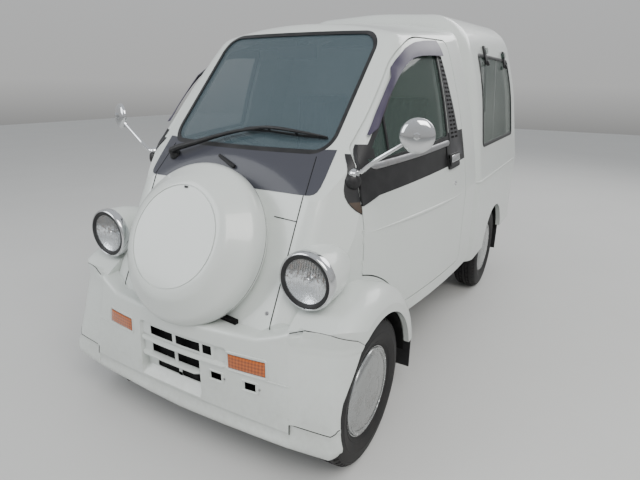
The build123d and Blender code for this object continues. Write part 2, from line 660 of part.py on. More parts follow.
# Rear axle and leaf springs
SPRING_X = (REAR_AXLE_X - 480, REAR_AXLE_X + 440)
SPRING_EYE_Z = 430
axle = rod((REAR_AXLE_X, -TRACK_Y - 44, WHEEL_Z), (REAR_AXLE_X, TRACK_Y + 44, WHEEL_Z), SPINDLE_R)
axle = axle + rod((REAR_AXLE_X, -524, WHEEL_Z), (REAR_AXLE_X, 524, WHEEL_Z), 30)
axle = axle + Pos(REAR_AXLE_X, 0, WHEEL_Z) * Sphere(92)
axle = axle + rod((REAR_AXLE_X, 0, WHEEL_Z), (REAR_AXLE_X + 160, 0, WHEEL_Z + 12), 36)
for side in (1, -1):
    y = side * RAIL_Y
    axle = axle + block(REAR_AXLE_X - 45, REAR_AXLE_X + 45, y - 28, y + 28, 268, 312)
save("rear_axle", axle)


def leaf(x0, x1, drop, thick):
    """One bowed leaf through the axle pad."""
    mid_z = 312 + drop
    rise = (SPRING_EYE_Z - 312) * ((x1 - x0) / (SPRING_X[1] - SPRING_X[0]))**2
    with BuildSketch() as sketch:
        with BuildLine():
            ThreePointArc((x0, mid_z + rise), ((x0 + x1) / 2, mid_z), (x1, mid_z + rise))
            Line((x1, mid_z + rise), (x1, mid_z + rise + thick))
            ThreePointArc((x1, mid_z + rise + thick), ((x0 + x1) / 2, mid_z + thick),
                          (x0, mid_z + rise + thick))
            Line((x0, mid_z + rise + thick), (x0, mid_z + rise))
        make_face()
    return sketch.sketch


springs = []
for side in (1, -1):
    y0, y1 = side * RAIL_Y - 25, side * RAIL_Y + 25
    pack = side_prism(leaf(SPRING_X[0], SPRING_X[1], 14, 7), y0, y1)
    pack = pack + side_prism(leaf(REAR_AXLE_X - 340, REAR_AXLE_X + 310, 7, 7.2), y0, y1)
    pack = pack + side_prism(leaf(REAR_AXLE_X - 210, REAR_AXLE_X + 190, 0, 7.2), y0, y1)
    for x in SPRING_X:
        pack = pack + rod((x, y0, SPRING_EYE_Z + 18), (x, y1, SPRING_EYE_Z + 18), 20)
        hanger = block(x - 22, x + 22, y0 - 8, y0 - 0.5, SPRING_EYE_Z, RAIL_REAR_TOP_Z - RAIL_T)
        hanger = hanger + block(x - 22, x + 22, y1 + 0.5, y1 + 8, SPRING_EYE_Z, RAIL_REAR_TOP_Z - RAIL_T)
        hanger = hanger + rod((x, y0 - 8, SPRING_EYE_Z + 18), (x, y1 + 8, SPRING_EYE_Z + 18), 8)
        rail_low_z = RAIL_REAR_TOP_Z - RAIL_T
        hanger = hanger + block(x - 22, x + 22, y0 - 8, y1 + 8, rail_low_z - 12, rail_low_z)
        pack = pack + hanger
    springs.append(pack)
save("leaf_springs", *springs)

# Fuel tank and exhaust
tank = fillet(block(-640, -250, -235, 200, 330, 480).edges(), 30)
tank = tank + block(-470, -430, -RAIL_Y, RAIL_Y, 470, RAIL_REAR_TOP_Z - RAIL_T - EPS)
save("fuel_tank", tank)
muffler = rod((-1110, -190, 330), (-1110, 150, 330), 75)
muffler = muffler + rod((-1110, 60, 300), (BOX_REAR_X + 10, 60, 268), 18)
muffler = muffler + block(-1080, -1060, -40, -10, 385, RAIL_REAR_TOP_Z - RAIL_T + 10 - EPS)
save("exhaust", muffler)

# Spare wheel cover on the nose, square to the leaning nose panel
COVER_R = 287
COVER_T = 169
COVER_Z = 736
cover_sketch = rounded_outline([(0, 0, 0), (262, 0, 0), (COVER_R, 42, 40), (COVER_R, 95, 60),
                                (200, COVER_T, 60),
                                (0, COVER_T, 0)])
cover = revolve(Plane.XZ * cover_sketch, axis=Axis.Z)
groove = Pos(0, 0, COVER_T) * (Cylinder(178, 6) - Cylinder(173, 6))
cover_x = NOSE_BASE[0] - NOSE_LEAN * (COVER_Z - NOSE_BASE[1])
nose_normal = Vector(1, 0, NOSE_LEAN).normalized()
cover_plane = Plane(origin=Vector(cover_x, 0, COVER_Z) + nose_normal * EPS, z_dir=nose_normal)
cover_room = cover_plane * Pos(0, 0, 80) * Cylinder(COVER_R + 12, 200)
save("spare_wheel_cover", cover_plane * (cover - groove))

# Front bumper: hollow, open behind, with its grille and lamp pockets
LAMP_Y = 302
LAMP_Z = 420
LAMP_HALF_W = 62
LAMP_HALF_H = 24
GRILLE_ROWS = [(430, 462), (385, 420), (340, 375)]
GRILLE_BAYS = [(-190, -150), (-142, -90), (-82, -30), (-22, 30), (38, 62)]
bumper = bumper_form(0, BUMPER_LIP_Z, BUMPER_TOP_Z)
bumper = fillet([e for e in bumper.edges() if abs(e.center().Z - BUMPER_TOP_Z) < 0.1
                 and (e @ 0.5).X > 700], 18)
bumper = bumper + bumper_form(6, BUMPER_LOW_Z, BUMPER_LIP_Z + 1)
bumper = bumper - bumper_form(BUMPER_T, 0, BUMPER_TOP_Z - 12)
bumper = bumper - (Pos(EPS, 0, 0) * CAB_OUTER) - cover_room
bumper = bumper - block(500, BUMPER_REAR_X, -900, 900, 0, 900)
for side in (1, -1):
    y0, y1 = sorted((side * WELL_IN_Y, side * (FENDER_Y - 28)))
    bumper = bumper - wheel_bar(ARCH_R - 11, y0, y1)
    y0, y1 = sorted((side * (FENDER_Y - 29), side * 900))
    bumper = bumper - wheel_bar(ARCH_R, y0, y1)
for z0, z1 in GRILLE_ROWS:
    for y0, y1 in GRILLE_BAYS:
        bumper = bumper - block(1200, 1400, y0, y1, z0, z1)
for y in (164, 303):
    bumper = bumper - block(1200, 1400, y - 22, y + 22, 344, 366)
pocket = block(1200, 1400, LAMP_Y - LAMP_HALF_W, LAMP_Y + LAMP_HALF_W,
               LAMP_Z - LAMP_HALF_H, LAMP_Z + LAMP_HALF_H)
bumper = bumper - pocket - flip(pocket)
save("front_bumper", sorted(bumper.solids(), key=lambda b: b.volume)[-1])
lens = (bumper_form(-2, 300, 500) - bumper_form(20, 300, 500)) & block(
    1200, 1400, LAMP_Y - LAMP_HALF_W + EPS, LAMP_Y + LAMP_HALF_W - EPS,
    LAMP_Z - LAMP_HALF_H + EPS, LAMP_Z + LAMP_HALF_H - EPS)
save("front_indicators", lens, flip(lens))

# Headlamp pods: bullets that grow out of the fenders' roots, and their lamps
HEAD_X, HEAD_Y, HEAD_Z = 1213, 459, 722
HEAD_R = 97
with BuildSketch() as pod_sketch:
    with BuildLine():
        Polyline((0, -250), (0, 0), (HEAD_R - 4, 0))
        ThreePointArc((HEAD_R - 4, 0), (HEAD_R * 0.82, -120), (0, -250))
    make_face()
bullet = Pos(HEAD_X - 22, HEAD_Y, HEAD_Z) * (Rot(0, 90, 0) * revolve(
    Plane.XZ * pod_sketch.sketch, axis=Axis.Z))
pod = bullet - CAB_OUTER - fender_room
save("headlamp_pods", *[sorted(p.solids(), key=lambda b: b.volume)[-1] for p in (pod, flip(pod))])
LENS_R = 78
LENS_RISE = 14
dome_r = (LENS_R**2 + LENS_RISE**2) / (2 * LENS_RISE)
dome_mid = LENS_RISE - dome_r + math.sqrt(dome_r**2 - (LENS_R / 2)**2)
with BuildSketch() as lamp_sketch:
    with BuildLine():
        Polyline((0, 4 + LENS_RISE), (0, -22 + EPS), (HEAD_R - 8, -22 + EPS), (HEAD_R, -16), (HEAD_R, -4),
                 (HEAD_R - 10, 4), (LENS_R, 4))
        ThreePointArc((LENS_R, 4), (LENS_R / 2, 4 + dome_mid), (0, 4 + LENS_RISE))
    make_face()
lamp = Pos(HEAD_X, HEAD_Y, HEAD_Z) * (Rot(0, 90, 0) * revolve(Plane.XZ * lamp_sketch.sketch, axis=Axis.Z))
save("headlamps", lamp, flip(lamp))

# Wiper, tow hook and mirrors
screen_normal = Vector(1, 0, SCREEN_LEAN).normalized()
wiper = Plane(origin=Vector(988, -225, 1052), z_dir=screen_normal) * Cylinder(16, 46)
wiper = wiper + rod((1000, -225, 1066), (955, 30, 1118), 7) + rod((958, -90, 1128), (930, 330, 1112), 6)
wiper = wiper - CAB_OUTER
save("wiper", sorted(wiper.solids(), key=lambda b: b.volume)[-1])
hook = rod((1130, -310, 360), (1130, -345, 360), 14) + rod((1130, -340, 360), (1275, -340, 168), 8)
hook = hook + Pos(1275, -340, 150) * (Rot(90, 0, 0) * Torus(22, 7))
hook = hook - block(1000, 1200, -310.3, 0, 300, 400)
save("tow_hook", hook)
MIRROR_AT = (930, 681, 1149)
MIRROR_R = 55
head = Plane(origin=MIRROR_AT, z_dir=(1, 0.35, 0.05)) * Cylinder(MIRROR_R, 22)
stalk = rod((945, 480, 1010), (950, 536, 1052), 6) + rod((950, 536, 1052), MIRROR_AT, 5)
foot = Pos(936, 472, 1012) * Sphere(23)
glass_arm = (head + stalk + foot) - (Pos(0, 2.3, 0) * CAB_OUTER)
glass_arm = sorted(glass_arm.solids(), key=lambda b: b.volume)[-1]
save("mirrors", glass_arm, flip(glass_arm))

# Cab fittings
DRIVER_Y = -230
dash_face = all_rounded([(800, 760), (770, 930), (800, 1010), (985, 1010), (1010, 760)], 20)
dashboard = side_prism(dash_face, -400, 400) & CAB_ROOM
save("dashboard", dashboard)
WHEEL_AT = Vector(640, DRIVER_Y, 985)
COLUMN_DIR = Vector(-0.62, 0, 0.785).normalized()
column = rod(tuple(WHEEL_AT - COLUMN_DIR * 37.3), tuple(WHEEL_AT - COLUMN_DIR * 260), 24)
column = column - dashboard
save("steering_column", sorted(column.solids(), key=lambda b: b.volume)[-1])
wheel_plane = Plane(origin=WHEEL_AT, z_dir=COLUMN_DIR)
hand_wheel = Torus(175, 12) + Pos(0, 0, -20) * Cylinder(42, 34)
for angle in (90, 210, 330):
    hand_wheel = hand_wheel + Rot(0, 0, angle) * (Pos(104, 0, -8) * Box(140, 26, 9))
save("steering_wheel", wheel_plane * hand_wheel)
seats = []
for side in (1, -1):
    y = side * -DRIVER_Y
    cushion = fillet(block(-60, 430, y - 205, y + 205, STEP_Z + EPS, STEP_Z + 115).edges(), 25)
    back_face = all_rounded([(-20, 700), (50, 700), (-50, 1290), (-115, 1290)], 22)
    seats.append(cushion + side_prism(back_face, y - 195, y + 195))
save("seats", *seats)

# Rear fittings
rear_lamp = block(BOX_REAR_X - 22, BOX_REAR_X + 0, 560, 632, 390, 600)
rear_lamp = fillet(rear_lamp.edges(), 8) - BOX_OUTER
save("rear_lamps", rear_lamp, flip(rear_lamp))
rear_bumper = block(BOX_REAR_X - 3, BOX_REAR_X + 60, -555, 555, 400, 500)
rear_bumper = rear_bumper - block(BOX_REAR_X + 20, BOX_REAR_X + 100, -540, 540, 390, 488)
for side in (1, -1):
    y = side * RAIL_Y
    rear_bumper = rear_bumper + block(BOX_REAR_X + 15, RAIL_REAR_X - EPS, y - 20, y + 20, 470, 535)
save("rear_bumper", rear_bumper)
flaps = []
for x, top_z in ((FRONT_AXLE_X - 372, FENDER_LOW_Z - EPS), (REAR_AXLE_X - 330, BOX_FLOOR_Z - EPS)):
    for side in (1, -1):
        y = side * TRACK_Y
        flaps.append(block(x, x + 5, y - 80, y + 80, 168, top_z))
save("mudflaps", *flaps)
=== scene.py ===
"""Looks of the kei truck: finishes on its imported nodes, added pieces, floor, light and camera."""

import logging
import math
import random
from dataclasses import dataclass, field
from enum import Enum
from typing import Any, Iterable, Sequence

import bmesh
import bpy
from mathutils import Matrix, Vector
from mathutils.bvhtree import BVHTree


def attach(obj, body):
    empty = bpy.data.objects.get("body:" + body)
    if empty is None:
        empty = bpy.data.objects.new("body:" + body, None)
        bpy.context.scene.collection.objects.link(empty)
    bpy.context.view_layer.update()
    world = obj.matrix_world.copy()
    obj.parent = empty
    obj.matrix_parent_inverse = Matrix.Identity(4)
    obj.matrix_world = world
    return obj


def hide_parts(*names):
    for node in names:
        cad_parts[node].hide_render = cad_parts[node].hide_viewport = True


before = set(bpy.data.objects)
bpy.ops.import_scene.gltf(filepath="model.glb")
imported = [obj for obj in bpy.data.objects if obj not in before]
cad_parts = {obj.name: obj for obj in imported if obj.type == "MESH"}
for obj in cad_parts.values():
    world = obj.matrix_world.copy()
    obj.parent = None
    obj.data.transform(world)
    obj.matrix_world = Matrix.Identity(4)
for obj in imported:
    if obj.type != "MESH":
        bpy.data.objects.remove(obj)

LOG = logging.getLogger("kei_truck")
Point = tuple[float, float, float]
Colour = tuple[float, float, float]


class Side(Enum):
    """Which side of the vehicle a piece is on."""

    LEFT = 1
    RIGHT = -1


class Val:
    """A shader socket that takes part in Python arithmetic."""

    def __init__(self, shader: "Shader", socket: bpy.types.NodeSocket) -> None:
        """Wrap a socket.

        Args:
            shader: the material under construction.
            socket: the output socket that carries the value.
        """
        self.shader = shader
        self.socket = socket

    def _with(self, operation: str, first: Any, second: Any) -> "Val":
        """Add one Math node.

        Args:
            operation: the Math node's operation.
            first: its first value.
            second: its second value.

        Returns:
            The node's result.
        """
        return self.shader.node("ShaderNodeMath", {"operation": operation}, {0: first, 1: second})[0]

    def __add__(self, other: Any) -> "Val":
        """Sum."""
        return self._with("ADD", self, other)

    __radd__ = __add__

    def __sub__(self, other: Any) -> "Val":
        """Difference."""
        return self._with("SUBTRACT", self, other)

    def __rsub__(self, other: Any) -> "Val":
        """Difference with the value second."""
        return self._with("SUBTRACT", other, self)

    def __mul__(self, other: Any) -> "Val":
        """Product."""
        return self._with("MULTIPLY", self, other)

    __rmul__ = __mul__

    def __truediv__(self, other: Any) -> "Val":
        """Quotient."""
        return self._with("DIVIDE", self, other)

    def __pow__(self, other: Any) -> "Val":
        """Power."""
        return self._with("POWER", self, other)

    def sine(self) -> "Val":
        """Sine of the value."""
        return self._with("SINE", self, 0.0)

    def size(self) -> "Val":
        """Absolute value."""
        return self._with("ABSOLUTE", self, 0.0)

    def least(self, other: Any) -> "Val":
        """Smaller of two values."""
        return self._with("MINIMUM", self, other)

    def ramp(self, low: float, high: float, to_low: float = 0.0, to_high: float = 1.0) -> "Val":
        """Clamped map from one range to another.

        Args:
            low: the value that gives to_low.
            high: the value that gives to_high.
            to_low: result at low.
            to_high: result at high.

        Returns:
            The mapped value.
        """
        inputs = {0: self, 1: low, 2: high, 3: to_low, 4: to_high}
        return self.shader.node("ShaderNodeMapRange", {"clamp": True}, inputs)[0]


class Shader:
    """A material with one Principled shader, built node by node."""

    def __init__(self, name: str) -> None:
        """Start an empty material.

        Args:
            name: the material's name.
        """
        self.material = bpy.data.materials.new(name)
        self.material.use_nodes = True
        self.tree = self.material.node_tree
        self.tree.nodes.clear()
        self.surface = self.tree.nodes.new("ShaderNodeBsdfPrincipled")
        self.output = self.tree.nodes.new("ShaderNodeOutputMaterial")
        self.tree.links.new(self.surface.outputs[0], self.output.inputs[0])

    def node(self, kind: str, settings: dict[str, Any], inputs: dict[Any, Any]) -> list[Val]:
        """Add a node of any type.

        Args:
            kind: the node's type.
            settings: attributes to set first; a ramp's stops are given as "stops".
            inputs: values or links, by input name or number.

        Returns:
            The node's outputs.
        """
        made = self.tree.nodes.new(kind)
        for key, value in settings.items():
            if key == "stops":
                while len(made.color_ramp.elements) < len(value):
                    made.color_ramp.elements.new(1.0)
                for element, (place, colour) in zip(made.color_ramp.elements, value):
                    element.position = place
                    element.color = (*colour, 1.0)
            else:
                setattr(made, key, value)
        for key, value in inputs.items():
            self.feed(made.inputs[key], value)
        return [Val(self, out) for out in made.outputs]

    def feed(self, socket: bpy.types.NodeSocket, value: Any) -> None:
        """Link or set one input socket."""
        if isinstance(value, Val):
            self.tree.links.new(value.socket, socket)
        elif isinstance(value, tuple) and len(value) == 3 and socket.type == "RGBA":
            socket.default_value = (*value, 1.0)
        else:
            socket.default_value = value

    def set(self, **values: Any) -> None:
        """Set the Principled shader's sockets; underscores stand for spaces."""
        for key, value in values.items():
            self.feed(self.surface.inputs[key.replace("_", " ")], value)

    def place(self) -> tuple[Val, Val, Val, Val]:
        """Object coordinates and their three components."""
        where = self.node("ShaderNodeTexCoord", {}, {})[3]
        x, y, z = self.node("ShaderNodeSeparateXYZ", {}, {0: where})
        return where, x, y, z

    def noise(self, where: Val, scale: float, detail: float = 3.0, rough: float = 0.5) -> Val:
        """Noise value from 0 to 1 at a scale."""
        inputs = {"Vector": where, "Scale": scale, "Detail": detail, "Roughness": rough}
        return self.node("ShaderNodeTexNoise", {}, inputs)[0]

    def stretched(self, where: Val, scale: Point) -> Val:
        """Coordinates scaled by a different factor along each axis."""
        return self.node("ShaderNodeMapping", {}, {"Vector": where, "Scale": scale})[0]

    def mix(self, share: Any, first: Any, second: Any) -> Val:
        """Mix of two colours."""
        made = self.tree.nodes.new("ShaderNodeMix")
        made.data_type = "RGBA"
        for key, value in ((0, share), (6, first), (7, second)):
            self.feed(made.inputs[key], value)
        return Val(self, made.outputs[2])

    def bump(self, height: Val, strength: float, distance: float) -> None:
        """Feed a height into the shader's normal."""
        inputs = {"Height": height, "Strength": strength, "Distance": distance}
        self.set(Normal=self.node("ShaderNodeBump", {}, inputs)[0])


@dataclass(frozen=True)
class Paint:
    """Vehicle paint with a clear coat, faint waviness and road dirt low down."""

    name: str
    colour: Colour
    dirt_colour: Colour = (0.16, 0.14, 0.11)
    roughness: float = 0.28
    coat: float = 0.6
    dirt: float = 0.5
    dirt_low: float = 0.15
    dirt_high: float = 0.62

    def build(self) -> bpy.types.Material:
        """Make the material."""
        s = Shader(self.name)
        where, _, _, z = s.place()
        broad = s.noise(where, 3.1, 4.0, 0.6)
        fine = s.noise(where, 46.0, 5.0, 0.65)
        low = z.ramp(self.dirt_low, self.dirt_high, 1.0, 0.0)
        patch = (broad * 0.7 + fine * 0.5 - 0.35).ramp(0.0, 0.6)
        film = (low ** 1.6 * patch * self.dirt).least(1.0)
        haze = broad.ramp(0.35, 0.75) * 0.035 + fine.ramp(0.62, 0.8) * 0.05
        grime = (film + haze).least(1.0)
        s.set(Base_Color=s.mix(grime, self.colour, self.dirt_colour))
        s.set(Roughness=grime * 0.5 + self.roughness + broad * 0.05)
        s.set(Coat_Roughness=0.08, IOR=1.5)
        s.set(Coat_Weight=(1.0 - grime) * self.coat)
        s.bump(s.noise(where, 260.0, 2.0), 0.03, 0.0004)
        return s.material


@dataclass(frozen=True)
class Plastic:
    """Moulded plastic or satin trim with a fine grain."""

    name: str
    colour: Colour
    roughness: float = 0.55
    grain: float = 0.25
    grain_scale: float = 900.0
    dust: float = 0.25
    specular: float = 0.4

    def build(self) -> bpy.types.Material:
        """Make the material."""
        s = Shader(self.name)
        where, _, _, _ = s.place()
        cells = s.node("ShaderNodeTexVoronoi", {}, {"Vector": where, "Scale": self.grain_scale})[0]
        cloud = s.noise(where, 14.0, 4.0, 0.6)
        dusty = cloud.ramp(0.42, 0.78) * self.dust
        pale = tuple(c * 0.6 + 0.22 for c in self.colour)
        s.set(Base_Color=s.mix(dusty, self.colour, pale))
        s.set(Roughness=dusty * 0.3 + self.roughness + cloud * 0.08)
        s.set(Specular_IOR_Level=self.specular)
        s.bump(cells, self.grain, 0.0003)
        return s.material


@dataclass(frozen=True)
class Glass:
    """Tinted window glass with a little dust."""

    name: str
    tint: Colour
    alpha: float = 0.34
    roughness: float = 0.03

    def build(self) -> bpy.types.Material:
        """Make the material."""
        s = Shader(self.name)
        where, _, _, _ = s.place()
        cloud = s.noise(where, 7.0, 5.0, 0.65)
        s.set(Base_Color=self.tint)
        s.set(Roughness=cloud.ramp(0.45, 0.8, self.roughness, self.roughness + 0.06))
        s.set(Alpha=cloud.ramp(0.3, 0.8, self.alpha, self.alpha + 0.05))
        s.set(Specular_IOR_Level=0.75, IOR=1.52)
        s.material.use_transparent_shadow = True
        return s.material


@dataclass(frozen=True)
class Metal:
    """Bare, plated or painted metal with stains."""

    name: str
    colour: Colour
    roughness: float = 0.12
    stain: float = 0.2
    stain_colour: Colour = (0.12, 0.10, 0.08)
    scratch: float = 0.0
    metallic: float = 1.0

    def build(self) -> bpy.types.Material:
        """Make the material."""
        s = Shader(self.name)
        where, _, _, _ = s.place()
        cloud = s.noise(where, 19.0, 5.0, 0.62)
        specks = s.noise(where, 210.0, 3.0, 0.6).ramp(0.6, 0.75)
        spots = (cloud.ramp(0.5, 0.8) + specks * 0.4).least(1.0) * self.stain
        s.set(Base_Color=s.mix(spots, self.colour, self.stain_colour))
        s.set(Roughness=spots * 0.5 + self.roughness + cloud * 0.06)
        s.set(Metallic=(1.0 - spots) * self.metallic)
        lines = s.noise(s.stretched(where, (30.0, 30.0, 900.0)), 1.0, 2.0)
        s.bump(lines * self.scratch + specks * 0.1, 0.15, 0.0005)
        return s.material


@dataclass(frozen=True)
class Rubber:
    """Tyre rubber: dark, with brown dust towards the tread."""

    name: str
    colour: Colour = (0.018, 0.018, 0.019)
    dust_colour: Colour = (0.11, 0.095, 0.08)
    dust: float = 0.5

    def build(self) -> bpy.types.Material:
        """Make the material."""
        s = Shader(self.name)
        where, _, _, z = s.place()
        cloud = s.noise(where, 22.0, 6.0, 0.7)
        fine = s.noise(where, 420.0, 3.0, 0.6)
        low = z.ramp(0.0, 0.5, 1.0, 0.55)
        film = cloud.ramp(0.35, 0.8) * low * self.dust
        s.set(Base_Color=s.mix(film, self.colour, self.dust_colour))
        s.set(Roughness=film * 0.3 + 0.62)
        s.set(Specular_IOR_Level=0.35)
        s.bump(fine * 0.5 + cloud * 0.5, 0.12, 0.0008)
        return s.material


@dataclass(frozen=True)
class Lens:
    """Moulded lamp lens with ribs inside."""

    name: str
    colour: Colour
    rib_scale: float = 520.0
    alpha: float = 0.9
    roughness: float = 0.12

    def build(self) -> bpy.types.Material:
        """Make the material."""
        s = Shader(self.name)
        _, _, y, z = s.place()
        ribs = (y * self.rib_scale).sine() * 0.5 + (z * self.rib_scale).sine() * 0.5
        deep = tuple(c * 0.35 for c in self.colour)
        s.set(Base_Color=s.mix(ribs.ramp(-1.0, 1.0), deep, self.colour))
        s.set(Roughness=ribs.ramp(-1.0, 1.0, self.roughness, self.roughness + 0.1))
        s.set(Coat_Weight=0.8, Coat_Roughness=0.05, Alpha=self.alpha)
        s.bump(ribs, 0.35, 0.001)
        return s.material


@dataclass(frozen=True)
class FlutedGlass:
    """Clear lamp glass with upright flutes and a finer cross pattern."""

    name: str
    tint: Colour
    alpha: float = 0.26
    pitch: float = 0.0085

    def build(self) -> bpy.types.Material:
        """Make the material."""
        s = Shader(self.name)
        where, _, y, z = s.place()
        flutes = (y * (2 * math.pi / self.pitch)).sine()
        rows = (z * (2 * math.pi / (self.pitch * 2.6))).sine()
        specks = s.noise(where, 60.0, 4.0, 0.6)
        s.set(Base_Color=self.tint, Specular_IOR_Level=0.9, IOR=1.52)
        s.set(Roughness=specks.ramp(0.4, 0.8, 0.04, 0.16))
        s.set(Alpha=(flutes * 0.5 + 0.5).ramp(0.0, 1.0, self.alpha, self.alpha + 0.16))
        s.bump(flutes + rows * 0.4, 0.8, 0.0016)
        return s.material


@dataclass(frozen=True)
class Reflector:
    """Plated lamp bowl with a painted reflection in its colour: pale below, dark and patchy above, with a
    bright speckled band.
    """

    name: str
    reflection_split_z: float = 0.722
    half: float = 0.055

    def build(self) -> bpy.types.Material:
        """Make the material."""
        s = Shader(self.name)
        where, _, _, z = s.place()
        patch = s.noise(where, 75.0, 4.0, 0.7)
        # Painted reflection: pale below the split height, where the bowl shows the bright sky, dark and
        # patchy above it.
        height = (z - self.reflection_split_z) / self.half + (patch - 0.5) * 1.6
        dark = height.ramp(-0.1, 0.5)
        brown = patch.ramp(0.50, 0.62) * height.ramp(-0.5, 0.2)
        base = s.mix(dark, (0.80, 0.83, 0.86), (0.10, 0.10, 0.10))
        s.set(Base_Color=s.mix(brown * 0.6, base, (0.22, 0.13, 0.09)))
        s.set(Roughness=patch.ramp(0.3, 0.7, 0.08, 0.3), Metallic=1.0)
        s.bump(patch, 0.4, 0.002)
        return s.material


@dataclass(frozen=True)
class Cloth:
    """Woven seat cloth."""

    name: str
    colour: Colour
    second: Colour
    pitch: float = 0.0022

    def build(self) -> bpy.types.Material:
        """Make the material."""
        s = Shader(self.name)
        where, x, y, z = s.place()
        turns = 2 * math.pi / self.pitch
        warp = (y * turns).sine().size()
        weft = ((x + z) * turns).sine().size()
        weave = (warp + weft) * 0.5
        fuzz = s.noise(where, 640.0, 4.0, 0.7)
        worn = s.noise(where, 6.0, 4.0, 0.6).ramp(0.4, 0.75)
        base = s.mix(weave.ramp(0.2, 0.9), self.second, self.colour)
        s.set(Base_Color=s.mix(worn * 0.25, base, tuple(min(1.0, c * 1.6) for c in self.colour)))
        s.set(Roughness=fuzz * 0.1 + 0.82)
        s.set(Sheen_Weight=0.35, Sheen_Roughness=0.5)
        s.bump(weave * 0.7 + fuzz * 0.5, 0.5, 0.0008)
        return s.material


class Finish(Enum):
    """Every finish of the vehicle."""

    WHITE = Paint("white_paint", (0.62, 0.655, 0.63))
    COWL = Paint("blue_grey_paint", (0.036, 0.038, 0.052), roughness=0.40, coat=0.2, dirt=0.15)
    BLACK = Plastic("black_trim", (0.011, 0.011, 0.012), roughness=0.42, dust=0.07)
    GREY = Plastic("grey_trim", (0.11, 0.115, 0.12), roughness=0.6, grain=0.45)
    GLASS = Glass("window_glass", (0.05, 0.085, 0.07))
    AMBER = Lens("amber_lens", (0.52, 0.115, 0.012), alpha=1.0)
    RED = Lens("red_lens", (0.45, 0.012, 0.01))
    VENT = Plastic("vent_trim", (0.035, 0.035, 0.038), roughness=0.6, grain=0.5, grain_scale=300.0, dust=0.15)
    BROWN = Plastic("brown_trim", (0.050, 0.030, 0.018), roughness=0.5, dust=0.15)
    CHROME = Metal("chrome", (0.66, 0.67, 0.68), roughness=0.06, stain=0.22)
    STEEL = Metal("black_steel", (0.03, 0.03, 0.032), roughness=0.55, stain=0.7, metallic=0.3)
    ALLOY = Metal("bare_metal", (0.36, 0.36, 0.37), roughness=0.42, stain=0.6, scratch=0.4)
    HUB = Metal("hub_metal", (0.42, 0.43, 0.43), roughness=0.16, stain=0.55)
    TYRE = Rubber("tyre_rubber", (0.010, 0.010, 0.011), dust=0.18)
    SEAM = Plastic("seam_shadow", (0.008, 0.008, 0.008), roughness=0.9, grain=0.0, dust=0.1, specular=0.1)
    REFLECTOR = Reflector("lamp_reflector")
    LAMP_GLASS = FlutedGlass("lamp_glass", (0.85, 0.88, 0.88), alpha=0.10)
    SCREEN = Glass("screen_glass", (0.085, 0.125, 0.145), alpha=0.48)
    MIRROR = Metal("mirror_glass", (0.62, 0.66, 0.70), roughness=0.02, stain=0.03)
    VISOR = Plastic("rain_visor", (0.050, 0.042, 0.074), roughness=0.32, grain=0.0, dust=0.10, specular=0.3)
    CLOTH = Cloth("seat_cloth", (0.13, 0.14, 0.16), (0.05, 0.055, 0.065))


class FinishBook:
    """Makes each finish once and hands it out."""

    def __init__(self) -> None:
        """Start with no finish made."""
        self.made: dict[Finish, bpy.types.Material] = {}

    def get(self, finish: Finish) -> bpy.types.Material:
        """The material of a finish."""
        if finish not in self.made:
            self.made[finish] = finish.value.build()
        return self.made[finish]

    def dress(self, node: str, finish: Finish) -> None:
        """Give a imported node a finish."""
        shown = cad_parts[node]
        for slot in shown.material_slots:
            slot.material = self.get(finish)
        LOG.info("node %s has %s", node, finish.name)


NODE_FINISH: dict[Finish, tuple[str, ...]] = {
    Finish.WHITE: ("cab_shell", "cab_floor", "nose_panel", "door_left", "door_right", "fender_left",
                   "fender_right", "box_shell", "tailgate", "load_floor", "front_bumper", "headlamp_pods",
                   "spare_wheel_cover", "rear_bumper"),
    Finish.COWL: ("cowl_panel",),
    Finish.BLACK: ("door_trim_left", "door_trim_right", "windscreen_seal", "corner_trims", "wiper",
                   "steering_column", "steering_wheel", "mudflaps"),
    Finish.GREY: ("dashboard",),
    Finish.CLOTH: ("seats",),
    Finish.SCREEN: ("windscreen",),
    Finish.GLASS: ("door_glass_left", "door_glass_right", "quarter_windows", "tailgate_glass"),
    Finish.AMBER: ("front_indicators",),
    Finish.RED: ("rear_lamps",),
    Finish.CHROME: ("headlamps", "mirrors"),
    Finish.STEEL: ("frame", "knuckle_left", "knuckle_right", "front_suspension", "rear_axle", "leaf_springs",
                   "fuel_tank", "tow_hook"),
    Finish.ALLOY: ("engine", "exhaust"),
    Finish.HUB: ("wheel_front_left", "wheel_front_right", "wheel_rear_left", "wheel_rear_right"),
    Finish.TYRE: ("tyre_front_left", "tyre_front_right", "tyre_rear_left", "tyre_rear_right"),
}


